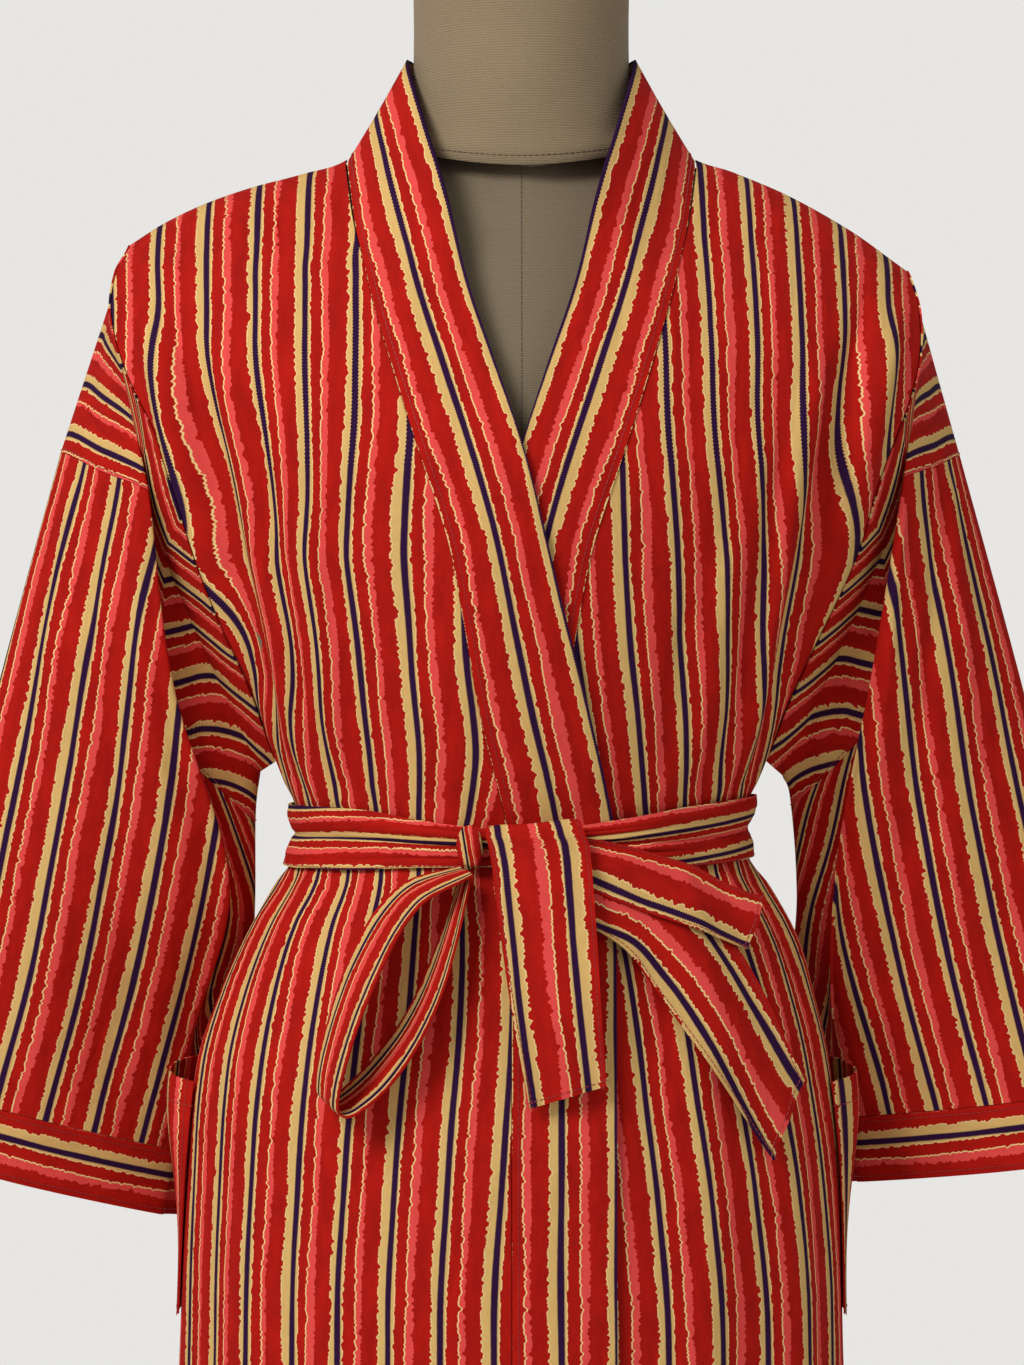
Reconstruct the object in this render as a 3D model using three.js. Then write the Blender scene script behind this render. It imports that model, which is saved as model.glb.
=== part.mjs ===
// A wrap robe of striped cotton, cut like a kimono and tied with a sash, on a dress form with a stand.
// Units are millimetres, +Z is up, and the robe faces -Y. The origin is on the floor under the stand.
// Cloth is a wall around a surface that is worked out from the sizes below; +X is the wearer's left.
import * as THREE from 'three';
import { mergeVertices } from 'three/addons/utils/BufferGeometryUtils.js';

// Cloth and seams
const clothWall = 1.6;
const doubleWall = 2.4;
const seamGap = 0.4;
const sleeveGap = 0.64;
const wrapHeight = 4.2;
const neckStart = 1332;
const neckCorner = 68;
const neckLength = 192;
const sashWidth = 45;

// Heights above the floor
const hemHeight = 160;
const chestHeight = 1235;
const underarmHeight = 1082;
const shoulderPointHeight = 1361;
const waistHeight = 1044;

// Shoulders and neck
const shoulderHalf = 211;
const shoulderHalfLeft = 204;
const shoulderRun = 170;
const shoulderRound = 2.2;
const formRound = 1.92;
const shoulderBack = 8;
const neckHalf = 92;
const fullTurn = 360;
const quarterTurn = 90;

// Half width to the right and left, depth to the front and back, half depth of the armhole, and squareness
const BODY = [
  { z: 160, half: 203, left: 192, front: 148, back: 156, arm: 0, square: 0.5 },
  { z: 450, half: 192, left: 182, front: 136, back: 144, arm: 0, square: 0.5 },
  { z: 755, half: 182, left: 171, front: 124, back: 132, arm: 0, square: 0.48 },
  { z: 866, half: 178, left: 169, front: 120, back: 128, arm: 0, square: 0.47 },
  { z: 921, half: 173, left: 164, front: 115, back: 123, arm: 0, square: 0.47 },
  { z: 957, half: 161, left: 156, front: 109, back: 114, arm: 0, square: 0.48 },
  { z: 985, half: 148, left: 148, front: 103, back: 104, arm: 0, square: 0.49 },
  { z: 1012, half: 133, left: 134, front: 97, back: 93, arm: 0, square: 0.5 },
  { z: 1030, half: 122, left: 122, front: 91, back: 84, arm: 0, square: 0.5 },
  { z: 1044, half: 118.5, left: 118, front: 89, back: 82, arm: 0, square: 0.5 },
  { z: 1058, half: 121.5, left: 121, front: 92, back: 84, arm: 0, square: 0.5 },
  { z: 1080, half: 130, left: 130, front: 100, back: 90, arm: 0, square: 0.5 },
  { z: 1110, half: 141, left: 141, front: 110, back: 95, arm: 22, square: 0.62 },
  { z: 1145, half: 151, left: 152.5, front: 119, back: 99, arm: 40, square: 0.76 },
  { z: 1190, half: 165, left: 169.5, front: 127, back: 102, arm: 50, square: 0.88 },
  { z: 1235, half: 180, left: 189, front: 129, back: 104, arm: 54, square: 0.94 },
  { z: 1285, half: 207, left: 208, front: 120, back: 103, arm: 52, square: 0.92 },
  { z: 1320, half: 218, left: 212, front: 111, back: 98, arm: 44, square: 0.9 },
  { z: 1345, half: 217, left: 208, front: 104, back: 93, arm: 34, square: 0.9 },
  { z: 1361, half: 211, left: 204, front: 100, back: 91, arm: 24, square: 0.9 },
  { z: 1412, half: 211, left: 204, front: 92, back: 90, arm: 12, square: 0.9 },
];

// Height of the shoulder line on the right and on the left; z is the distance from the middle
const SHOULDER_LINE = [
  { z: 0, height: 1482, left: 1482 },
  { z: 40, height: 1468, left: 1468 },
  { z: 66, height: 1434, left: 1434 },
  { z: 92, height: 1406, left: 1405.5 },
  { z: 119, height: 1397.5, left: 1397 },
  { z: 146, height: 1391, left: 1387.5 },
  { z: 173, height: 1382, left: 1374.5 },
  { z: 195, height: 1371.5, left: 1361 },
  { z: 211, height: 1361, left: 1347 },
];

// Distance from the middle of the band's seam and of its free edge, across to the other side where positive
const FRONT_EDGE = [
  { z: 160, seam: -5, free: 47.5 },
  { z: 1010, seam: -5, free: 47.5 },
  { z: 1047, seam: -6.5, free: 46.8 },
  { z: 1110, seam: -21, free: 33.8 },
  { z: 1157, seam: -29, free: 22 },
  { z: 1193, seam: -36, free: 13.5 },
  { z: 1237, seam: -50.5, free: 2.6 },
  { z: 1285, seam: -66, free: -12.5 },
  { z: 1330, seam: -79.4, free: -27.3 },
  { z: 1377, seam: -88.5, free: -38.2 },
];

// The band from the chest round the neck to the centre back, as places of its seam and of its free edge
const NECK_BAND = [
  { z: 0, seamX: 80, seamY: -67, seamZ: 1332, freeX: 31.5, freeY: -97, freeZ: 1349 },
  { z: 24, seamX: 86, seamY: -51, seamZ: 1358, freeX: 41, freeY: -72, freeZ: 1386 },
  { z: 46, seamX: 90.5, seamY: -27, seamZ: 1387, freeX: 51.5, freeY: -46, freeZ: 1421 },
  { z: 68, seamX: 92.5, seamY: 5, seamZ: 1406.5, freeX: 60.8, freeY: -6, freeZ: 1456 },
  { z: 104, seamX: 80, seamY: 44, seamZ: 1408, freeX: 56.5, freeY: 34, freeZ: 1463 },
  { z: 140, seamX: 50, seamY: 68, seamZ: 1407, freeX: 35, freeY: 57, freeZ: 1465 },
  { z: 192, seamX: 0, seamY: 77, seamZ: 1406, freeX: 0, freeY: 66, freeZ: 1467 },
];

// Soft vertical folds of the skirt: place round the body in degrees, width in degrees, height at waist and hem
const SKIRT_FOLDS = [
  { at: -78, wide: 9, waist: 1, hem: 8 },
  { at: -52, wide: 8, waist: 2.5, hem: 9 },
  { at: -31, wide: 6, waist: 2, hem: 4 },
  { at: 34, wide: 6, waist: 2.5, hem: 6 },
  { at: 57, wide: 8, waist: 2, hem: 9 },
  { at: 80, wide: 9, waist: 1, hem: 7 },
  { at: 112, wide: 9, waist: 2, hem: 9 },
  { at: 137, wide: 8, waist: 3, hem: 8 },
  { at: 161, wide: 8, waist: 3, hem: 10 },
  { at: 185, wide: 7, waist: 2.5, hem: 7 },
  { at: 208, wide: 8, waist: 3, hem: 10 },
  { at: 234, wide: 9, waist: 2, hem: 8 },
  { at: 257, wide: 8, waist: 1, hem: 9 },
];

// Folds that run from the shoulder to the side of the waist, from place and height to place and height
const ARM_FOLDS = [
  { fromX: 192, fromZ: 1312, toX: 148, toZ: 1122, wide: 9, high: 6 },
  { fromX: 174, fromZ: 1306, toX: 133, toZ: 1106, wide: 7, high: -5 },
  { fromX: 158, fromZ: 1296, toX: 120, toZ: 1090, wide: 10, high: 4 },
  { fromX: 126, fromZ: 1262, toX: 102, toZ: 1086, wide: 11, high: 3 },
];

// Sleeve sections from the shoulder seam to the cuff's edge, on the wearer's right: the outer edge, the
// edge of the front fold, the inner edge, how far the fold overhangs and steps back, and the back's swell
const RIGHT_SLEEVE = [
  { z: 122, outerX: 249, outerY: 4, outerZ: 1247, foldX: 198, foldY: -44, foldZ: 1226, innerX: 142,
    innerY: 12, innerZ: 1076, over: 4, step: 14, swell: 34 },
  { z: 225, outerX: 276, outerY: 6, outerZ: 1148, foldX: 185, foldY: -38, foldZ: 1122, innerX: 145,
    innerY: 18, innerZ: 1052, over: 12, step: 17, swell: 36 },
  { z: 325, outerX: 302, outerY: 12, outerZ: 1051, foldX: 158, foldY: 2, foldZ: 1014, innerX: 147,
    innerY: 40, innerZ: 996, over: 7, step: 9, swell: 34 },
  { z: 402, outerX: 322, outerY: 18, outerZ: 976, foldX: 180, foldY: 40, foldZ: 932, innerX: 154,
    innerY: 80, innerZ: 924, over: 2, step: 3, swell: 30 },
  { z: 474, outerX: 341, outerY: 22, outerZ: 908, foldX: 192, foldY: 52, foldZ: 866, innerX: 168,
    innerY: 84, innerZ: 862, over: 0, step: 2, swell: 28 },
  { z: 511, outerX: 350, outerY: 24, outerZ: 872, foldX: 199, foldY: 53, foldZ: 830, innerX: 176,
    innerY: 86, innerZ: 826, over: 0, step: 2, swell: 28 },
];

// The same for the wearer's left, which hangs a little closer and more level
const LEFT_SLEEVE = [
  { z: 122, outerX: 237, outerY: 4, outerZ: 1245, foldX: 203, foldY: -44, foldZ: 1233, innerX: 142,
    innerY: 11, innerZ: 1074, over: 3, step: 13, swell: 34 },
  { z: 225, outerX: 264, outerY: 6, outerZ: 1148, foldX: 187, foldY: -38, foldZ: 1132, innerX: 147,
    innerY: 18, innerZ: 1060, over: 12, step: 17, swell: 36 },
  { z: 325, outerX: 290, outerY: 12, outerZ: 1051, foldX: 171, foldY: 2, foldZ: 1028, innerX: 152,
    innerY: 40, innerZ: 1006, over: 7, step: 9, swell: 34 },
  { z: 402, outerX: 311, outerY: 18, outerZ: 975, foldX: 171, foldY: 42, foldZ: 946, innerX: 152,
    innerY: 80, innerZ: 938, over: 2, step: 3, swell: 30 },
  { z: 474, outerX: 330, outerY: 22, outerZ: 904, foldX: 184, foldY: 52, foldZ: 884, innerX: 166,
    innerY: 84, innerZ: 880, over: 0, step: 2, swell: 28 },
  { z: 511, outerX: 338, outerY: 24, outerZ: 867, foldX: 187, foldY: 53, foldZ: 848, innerX: 169,
    innerY: 86, innerZ: 844, over: 0, step: 2, swell: 28 },
];
const shoulderSeam = 122;
const cuffSeam = 474;
const sleeveEnd = 511;

// Sash: the strip round the waist, and the paths of its ends and its bow, measured out from the skirt
const sashClear = 1.3;
const sashRows = [-14.5, -9, -3, 0, 4, 10, 14.5];
const sashSwell = [0, 2.2, 1.6, 0.4, 1.8, 2.4, 0];
const SASH_LEVEL = [
  { z: -180, height: 1046 },
  { z: -90, height: 1042 },
  { z: -40, height: 1041.5 },
  { z: 0, height: 1038 },
  { z: 40, height: 1043 },
  { z: 90, height: 1047 },
  { z: 180, height: 1046 },
];
const CENTRE_END = [
  { z: 0, x: 3, height: 1046, out: 12, turn: 4, wide: 0.8 },
  { z: 11, x: 5, height: 1056, out: 16, turn: 6, wide: 0.95 },
  { z: 26, x: 6.5, height: 1047, out: 22, turn: 2, wide: 1 },
  { z: 71, x: 11, height: 1003, out: 24, turn: -4, wide: 1 },
  { z: 121, x: 16, height: 953, out: 21, turn: -7, wide: 0.95 },
  { z: 172, x: 23, height: 903, out: 14, turn: -9, wide: 0.86 },
];
const LONG_END = [
  { z: 0, x: 16, height: 1021, out: 12.6, turn: 70, wide: 0.7 },
  { z: 23, x: 37, height: 1012, out: 12.6, turn: 78, wide: 0.74 },
  { z: 50, x: 62, height: 1001, out: 12, turn: 64, wide: 0.95 },
  { z: 79, x: 82, height: 980, out: 10.5, turn: 42, wide: 1 },
  { z: 114, x: 101, height: 950, out: 9.5, turn: 33, wide: 0.94 },
  { z: 190, x: 137, height: 883, out: 9.5, turn: 31, wide: 0.62 },
];
const SHORT_END = [
  { z: 0, x: 18, height: 1034, out: 15.2, turn: 66, wide: 0.6 },
  { z: 20, x: 36, height: 1027, out: 15.2, turn: 67, wide: 0.64 },
  { z: 61, x: 74, height: 1011, out: 15, turn: 66, wide: 0.62 },
  { z: 106, x: 115, height: 992, out: 14.5, turn: 66, wide: 0.5 },
];
const BOW = [
  { z: 0, x: -26, height: 1021, out: 13, turn: -40, lean: 58, wide: 0.42 },
  { z: 30, x: -52, height: 1007, out: 20, turn: -32, lean: 60, wide: 0.85 },
  { z: 71, x: -71, height: 971, out: 25, turn: -28, lean: 61, wide: 1 },
  { z: 114, x: -86, height: 931, out: 22, turn: -26, lean: 62, wide: 1 },
  { z: 137, x: -91, height: 909, out: 18, turn: -28, lean: 62, wide: 0.95 },
  { z: 143, x: -88, height: 905, out: 15, turn: -30, lean: 62, wide: 0.9 },
  { z: 150, x: -82, height: 908, out: 13, turn: -30, lean: 62, wide: 0.9 },
  { z: 168, x: -69, height: 921, out: 12, turn: -30, lean: 62, wide: 0.9 },
  { z: 195, x: -53, height: 943, out: 13, turn: -30, lean: 64, wide: 0.85 },
  { z: 226, x: -40, height: 971, out: 14, turn: -28, lean: 66, wide: 0.75 },
  { z: 275, x: -27, height: 1018, out: 10, turn: -24, lean: 66, wide: 0.4 },
];

// Pockets, on the sides of the fronts
const pocketTop = 919;
const pocketBottom = 787;
const pocketFrom = 77;
const pocketTo = 120;
const pocketGape = 13;
const pocketOut = 2.4;

// Dress form and stand
const FORM = [
  { z: 790, half: 148, inset: 15 },
  { z: 860, half: 156, inset: 12 },
  { z: 921, half: 151, inset: 11 },
  { z: 985, half: 134, inset: 10 },
  { z: 1044, half: 108, inset: 8 },
  { z: 1110, half: 129, inset: 12 },
  { z: 1190, half: 150, inset: 14 },
  { z: 1235, half: 163, inset: 12 },
  { z: 1300, half: 184, inset: 10 },
  { z: 1361, half: 186, inset: 8 },
  { z: 1412, half: 186, inset: 6 },
];
const formBottom = 790;
const formNeckAngle = 23.2;
const shoulderDrop = 1.9;
const NECK = [
  { height: 1410, dip: 8, half: 74, front: 62, back: 64 },
  { height: 1419, dip: 5, half: 65, front: 59.5, back: 60 },
  { height: 1438, dip: 0, half: 59.5, front: 58.5, back: 57 },
  { height: 1470, dip: 0, half: 58.2, front: 57.5, back: 55.5 },
  { height: 1502, dip: 0, half: 58.5, front: 57.5, back: 55.5 },
  { height: 1508, dip: 0, half: 53, front: 52, back: 50 },
];
const poleRadius = 16;
const baseRadius = 190;
const baseHeight = 14;
const bossRadius = 30;
const bossHeight = 60;

const radians = (angle) => (angle * Math.PI) / 180;
const clamp = (value, low, high) => Math.min(Math.max(value, low), high);
const mix = (a, b, t) => a + (b - a) * t;
const vector = (x = 0, y = 0, z = 0) => new THREE.Vector3(x, y, z);

function smooth(value) {
  const t = clamp(value, 0, 1);
  return t * t * (3 - 2 * t);
}

// A smooth curve through one named column of a table, read at a value of its z
function column(rows, key, at) {
  const last = rows.length - 1;
  if (at <= rows[0].z) return rows[0][key];
  if (at >= rows[last].z) return rows[last][key];
  let i = 0;
  while (rows[i + 1].z < at) i += 1;
  const slope = (k) => {
    const low = rows[Math.max(k - 1, 0)];
    const high = rows[Math.min(k + 1, last)];
    return (high[key] - low[key]) / (high.z - low.z);
  };
  const span = rows[i + 1].z - rows[i].z;
  const t = (at - rows[i].z) / span;
  const t2 = t * t;
  const t3 = t2 * t;
  const ends = (2 * t3 - 3 * t2 + 1) * rows[i][key] + (3 * t2 - 2 * t3) * rows[i + 1][key];
  return ends + span * ((t3 - 2 * t2 + t) * slope(i) + (t3 - t2) * slope(i + 1));
}

const shoulderLine = (x) => (x > 0
  ? column(SHOULDER_LINE, 'left', (x * shoulderHalf) / shoulderHalfLeft)
  : column(SHOULDER_LINE, 'height', -x));

const halfAt = (z, x) => column(BODY, x > 0 ? 'left' : 'half', z);

// Distance from the body's middle plane to its surface at x and z, under a shoulder line at height ridge
function depthAt(x, z, ridge, front) {
  const share = Math.min(Math.abs(x) / halfAt(z, x), 1);
  const arm = column(BODY, 'arm', z);
  const crown = (1 - share * share) ** column(BODY, 'square', z);
  const reach = arm + (column(BODY, front ? 'front' : 'back', z) - arm) * crown;
  return reach * closingAt(z, ridge);
}

// How far the front and the back have come together, from 1 at the chest to 0 at the shoulder line
function closingAt(z, ridge, round = shoulderRound) {
  const rise = clamp((z - chestHeight) / (ridge - chestHeight), 0, 1);
  return (1 - rise ** round) ** (1 / round);
}

const middleAt = (z) => shoulderBack * smooth((z - chestHeight) / (shoulderPointHeight - chestHeight));

// Height of a row: below the chest it is v itself, above it v turns over the shoulder to its line
function rowHeight(v, ridge, round = shoulderRound) {
  if (v <= chestHeight) return v;
  const turn = radians(quarterTurn * Math.min((v - chestHeight) / shoulderRun, 1));
  return chestHeight + (ridge - chestHeight) * Math.sin(turn) ** (2 / round);
}

function rowAt(z, ridge) {
  if (z <= chestHeight) return z;
  const rise = clamp((z - chestHeight) / (ridge - chestHeight), 0, 1);
  return chestHeight + (shoulderRun * Math.asin(rise ** (shoulderRound / 2))) / (Math.PI / 2);
}

// The robe's surface at an angle round the body, 0 in front and 180 behind, and at a row v
function bodySurface(angle, v) {
  const across = Math.sin(radians(angle));
  const ridge = shoulderLine(across * (across > 0 ? shoulderHalfLeft : shoulderHalf));
  const z = rowHeight(v, ridge);
  const x = across * halfAt(z, across);
  const front = Math.abs(angle) <= quarterTurn;
  const depth = depthAt(x, z, ridge, front) + seamGap / 2;
  return vector(x, middleAt(z) + (front ? -depth : depth), z);
}

function outward(angle, v) {
  const low = Math.abs(angle) <= quarterTurn ? -quarterTurn : Math.min(angle, 0) < 0 ? -180 : quarterTurn;
  const high = low === -quarterTurn ? quarterTurn : low + quarterTurn;
  const a = bodySurface(clamp(angle - 0.7, low + 0.01, high - 0.01), v);
  const b = bodySurface(clamp(angle + 0.7, low + 0.01, high - 0.01), v);
  const c = bodySurface(angle, v - 3);
  const d = bodySurface(angle, Math.min(v + 3, chestHeight + shoulderRun * 0.995));
  return b.sub(a).cross(d.sub(c)).normalize();
}

// How far the cloth's own folds stand out at an angle, a place x and a height z
function folds(angle, x, z) {
  let high = 0;
  const down = clamp((waistHeight - z) / (waistHeight - hemHeight), 0, 1);
  const belowSash = smooth((waistHeight - 14 - z) / 50);
  for (const fold of SKIRT_FOLDS) {
    const off = ((angle - fold.at + 540) % fullTurn) - fullTurn / 2;
    high += belowSash * mix(fold.waist, fold.hem, down) * Math.exp(-((off / fold.wide) ** 2));
  }
  for (const fold of ARM_FOLDS) {
    const t = (fold.fromZ - z) / (fold.fromZ - fold.toZ);
    const off = (Math.abs(x) - mix(fold.fromX, fold.toX, t)) / fold.wide;
    const ends = smooth(t * 4 + 0.4) * smooth((1 - t) * 4 + 0.4);
    high += fold.high * ends * Math.exp(-off * off);
  }
  return high;
}

// A place on the robe at an angle and a row, that far outside the body's surface
function robePoint(angle, v, out) {
  const place = bodySurface(angle, v);
  return place.addScaledVector(outward(angle, v), out + folds(angle, place.x, place.z));
}

// The same on the front, at x and a height z
function frontPoint(x, z, out) {
  const v = rowAt(z, shoulderLine(x));
  const share = clamp(x / halfAt(z, x), -1, 1);
  return robePoint((Math.asin(share) * 180) / Math.PI, Math.min(v, chestHeight + shoulderRun * 0.999), out);
}

// Lift of the outer front where it crosses the inner one
function wrapLift(x, z) {
  const innerEdge = -column(FRONT_EDGE, 'free', z);
  return wrapHeight * smooth((x - innerEdge + 36) / 32) * smooth((1330 - z) / 70);
}

// Angle of the side seam, which swings back below the waist
const sideSeam = (z) => quarterTurn + 34 * smooth((underarmHeight - 4 - z) / 130);

// A closed mesh from places and faces, with equal places merged, empty faces dropped and faces outwards
function solid(places, faces) {
  const geometry = new THREE.BufferGeometry();
  geometry.setAttribute('position', new THREE.Float32BufferAttribute(places.flatMap((p) => p.toArray()), 3));
  geometry.setIndex(faces);
  const merged = mergeVertices(geometry, 0.001);
  const corner = (k) => vector().fromBufferAttribute(merged.attributes.position, merged.index.getX(k));
  const kept = [];
  let volume = 0;
  for (let i = 0; i < merged.index.count; i += 3) {
    const [a, b, c] = [0, 1, 2].map((k) => merged.index.getX(i + k));
    if (a !== b && b !== c && c !== a) kept.push(a, b, c);
    volume += corner(i).dot(corner(i + 1).cross(corner(i + 2)));
  }
  merged.setIndex(volume > 0 ? kept : kept.reverse());
  merged.computeVertexNormals();
  return merged;
}

// Turns a grid of places into a closed wall of cloth. Round joins each row's end to its start; the rows
// counted by before and after only guide the slope at the ends.
function wall(grid, thickness, round = false, before = 0, after = 0) {
  const columns = grid[0].length;
  const at = (i, j) => {
    const row = grid[clamp(i, 0, grid.length - 1)];
    return round ? row[(j + columns) % columns] : row[clamp(j, 0, columns - 1)];
  };
  const places = [[], []];
  for (let i = before; i < grid.length - after; i += 1) {
    for (let j = 0; j < columns; j += 1) {
      const along = at(i, j + 1).clone().sub(at(i, j - 1));
      const up = at(i + 1, j).clone().sub(at(i - 1, j));
      const normal = along.cross(up).normalize().multiplyScalar(thickness / 2);
      places[0].push(at(i, j).clone().add(normal));
      places[1].push(at(i, j).clone().sub(normal));
    }
  }
  const rows = grid.length - before - after;
  const index = (side, i, j) => side * rows * columns + i * columns + (j % columns);
  const faces = [];
  const quad = (a, b, c, d) => faces.push(a, b, c, a, c, d);
  const across = round ? columns : columns - 1;
  const top = rows - 1;
  for (let j = 0; j < across; j += 1) {
    for (let i = 0; i < top; i += 1) {
      quad(index(0, i, j), index(0, i, j + 1), index(0, i + 1, j + 1), index(0, i + 1, j));
      quad(index(1, i, j), index(1, i + 1, j), index(1, i + 1, j + 1), index(1, i, j + 1));
    }
    quad(index(0, 0, j + 1), index(0, 0, j), index(1, 0, j), index(1, 0, j + 1));
    quad(index(0, top, j), index(0, top, j + 1), index(1, top, j + 1), index(1, top, j));
  }
  for (let i = 0; i < top && !round; i += 1) {
    const last = columns - 1;
    quad(index(0, i, 0), index(0, i + 1, 0), index(1, i + 1, 0), index(1, i, 0));
    quad(index(0, i + 1, last), index(0, i, last), index(1, i, last), index(1, i + 1, last));
  }
  return solid([...places[0], ...places[1]], faces);
}

// The skin round a stack of rings, joined to a middle place at each end where one is given
function skin(rings, lowMiddle, highMiddle) {
  const size = rings[0].length;
  const places = rings.flat();
  const faces = [];
  for (let j = 0; j < size; j += 1) {
    const next = (j + 1) % size;
    for (let i = 0; i < rings.length - 1; i += 1) {
      const [a, b, c, d] = [i * size + j, i * size + next, (i + 1) * size + next, (i + 1) * size + j];
      faces.push(a, b, c, a, c, d);
    }
    const last = (rings.length - 1) * size;
    if (lowMiddle) faces.push(rings.length * size, next, j);
    if (highMiddle) faces.push(rings.length * size + (lowMiddle ? 1 : 0), last + j, last + next);
  }
  return { places: [...places, ...[lowMiddle, highMiddle].filter(Boolean)], faces };
}

const steps = (count, from, to) => Array.from({ length: count + 1 }, (_, i) => mix(from, to, i / count));

// Rows of the body's panels from the hem to the shoulder
const bodyRows = [hemHeight, 330, 500, 650, 755, 840, 905, 945, 980, 1006, 1026, 1044, 1062, underarmHeight,
  1108, 1136, 1166, 1202, chestHeight,
  ...[0.15, 0.32, 0.5, 0.68, 0.84, 0.94, 1].map((share) => chestHeight + shoulderRun * share)];

// A place on the band: t goes from its seam to its free edge, along from the hem round to the centre back
function bandPlace(side, along, t, out) {
  const onBody = Math.min(along, neckStart + 40);
  const z = onBody + 17 * smooth((onBody - waistHeight) / 120) * t;
  const x = -side * mix(column(FRONT_EDGE, 'seam', onBody), column(FRONT_EDGE, 'free', z), t);
  const onFront = frontPoint(x, z, out + (side < 0 ? wrapLift(x, z) : 0));
  if (along <= neckStart) return onFront;
  const key = along - neckStart;
  const place = (part) => mix(column(NECK_BAND, `seam${part}`, key), column(NECK_BAND, `free${part}`, key), t);
  return onFront.lerp(vector(side * place('X'), place('Y'), place('Z')), smooth(key / 40));
}

// Where along the band something rises through a value
function alongWhere(low, high, value, rising) {
  let [from, to] = [low, high];
  for (let i = 0; i < 30; i += 1) {
    const middle = (from + to) / 2;
    if (rising(middle) < value) from = middle;
    else to = middle;
  }
  return (from + to) / 2;
}

// Moves the last part of a row so that it ends at a given place
function endAt(row, shares, place) {
  const shift = place.clone().sub(row[row.length - 1]);
  return row.map((p, i) => p.addScaledVector(shift, shares[i] ** 4));
}

const frontShares = steps(14, 0, 1).map((t) => t ** 0.95);

// One front, from the side seam or the armhole to the seam of the band
function frontPanel(side) {
  const corner = bandPlace(side, neckStart + neckCorner, 0, 0);
  return wall(bodyRows.map((v) => {
    const z = rowHeight(v, corner.z);
    const along = z < neckStart - 12 ? z
      : alongWhere(neckStart - 20, neckStart + neckCorner, z, (a) => bandPlace(side, a, 0, 0).z);
    const seam = bandPlace(side, along, 0, 0);
    seam.x += side * mix(seamGap, 1.7, smooth((along - neckStart - 6) / 40));
    const inner = (Math.asin(clamp((side * seam.x) / halfAt(z, side), -1, 1)) * 180) / Math.PI;
    const edge = sideSeam(z) - (z < underarmHeight ? 0.09 : 0);
    const row = frontShares.map((t) => {
      const place = bodySurface(side * mix(edge, inner, t), v);
      return robePoint(side * mix(edge, inner, t), v, side < 0 ? wrapLift(place.x, place.z) : 0);
    });
    return endAt(row, frontShares, seam);
  }), clothWall);
}

// The back, between the side seams and up to the shoulders and the band
const neckShare = 0.289;
const backShares = [...steps(5, -1, -neckShare), ...steps(6, -neckShare, neckShare).slice(1),
  ...steps(5, neckShare, 1).slice(1)];

function backPanel() {
  return wall(bodyRows.map((v) => {
    const turn = 180 - sideSeam(v) - (v < underarmHeight ? 0.09 : 0.001);
    return backShares.map((share) => {
      const angle = share * turn;
      const place = robePoint(angle >= 0 ? 180 - angle : -180 - angle, v, 0);
      if (Math.abs(share) > neckShare + 0.001 || v <= chestHeight) return place;
      const side = share < 0 ? -1 : 1;
      const width = Math.abs(place.x);
      const rounded = (a) => -bandPlace(side, a, 0, 0).x * side;
      const along = alongWhere(neckStart + neckCorner, neckStart + neckLength, -width, rounded);
      const seam = bandPlace(side, along, 0, 0).add(vector(0, 0.6, -1.9));
      const top = robePoint(angle >= 0 ? 180 - angle : -180 - angle, chestHeight + shoulderRun * 0.999, 0);
      const rise = (v - chestHeight) / shoulderRun;
      const lowered = robePoint(angle >= 0 ? 180 - angle : -180 - angle,
        mix(chestHeight, rowAt(seam.z, top.z), rise), 0);
      return lowered.lerp(seam, rise ** 3);
    });
  }), clothWall);
}

const bandRows = [...bodyRows.filter((v) => v < neckStart - 160), ...steps(5, 1202, neckStart).slice(0),
  ...steps(6, neckStart, neckStart + neckCorner - 0.3).slice(1)];
const bandOut = (doubleWall - clothWall) / 2;

function band(side) {
  return wall(bandRows.map((along) => steps(3, 0, 1).map((t) => bandPlace(side, along, t, bandOut))), doubleWall);
}

function backBand() {
  const half = steps(5, neckStart + neckCorner + 0.3, neckStart + neckLength);
  const strip = (side) => half.map((along) => steps(3, 0, 1).map((t) => bandPlace(side, along, t, bandOut)));
  return wall([...strip(-1), ...strip(1).reverse().slice(1)], doubleWall);
}

// The loop of guide places of a sleeve at one section, from the outer edge round the front to the back
function sleeveGuide(side, at) {
  const c = (key) => column(side < 0 ? RIGHT_SLEEVE : LEFT_SLEEVE, key, at);
  const outer = vector(side * c('outerX'), c('outerY'), c('outerZ'));
  const fold = vector(side * c('foldX'), c('foldY'), c('foldZ'));
  const inner = vector(side * c('innerX'), c('innerY'), c('innerZ'));
  const front = outer.clone().lerp(fold, 0.5).add(vector(0, -0.12 * outer.distanceTo(fold), 0));
  const valley = fold.clone().add(vector(side * c('over'), c('step'), -0.6 * c('over')));
  const under = valley.clone().lerp(inner, 0.5).add(vector(side * 2, -0.4 * c('step'), 0));
  const backLow = inner.clone().lerp(outer, 0.3).add(vector(0, c('swell'), 0));
  const backHigh = inner.clone().lerp(outer, 0.72).add(vector(0, c('swell') * 0.85, 0));
  return [outer, front, fold, valley, under, inner, backLow, backHigh];
}

const loopShares = [...steps(4, 0, 1), ...steps(4, 1, 2).slice(1), ...steps(3, 2, 3).slice(1),
  ...steps(3, 3, 4).slice(1), ...steps(3, 4, 5).slice(1), ...steps(3, 5, 6).slice(1),
  ...steps(3, 6, 7).slice(1), ...steps(3, 7, 8).slice(1, 3)];
const armholeFront = [1405, 1330, 1290, 1255, 1170, underarmHeight];
const armholeBack = [underarmHeight, 1160, 1270, 1405];

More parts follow.
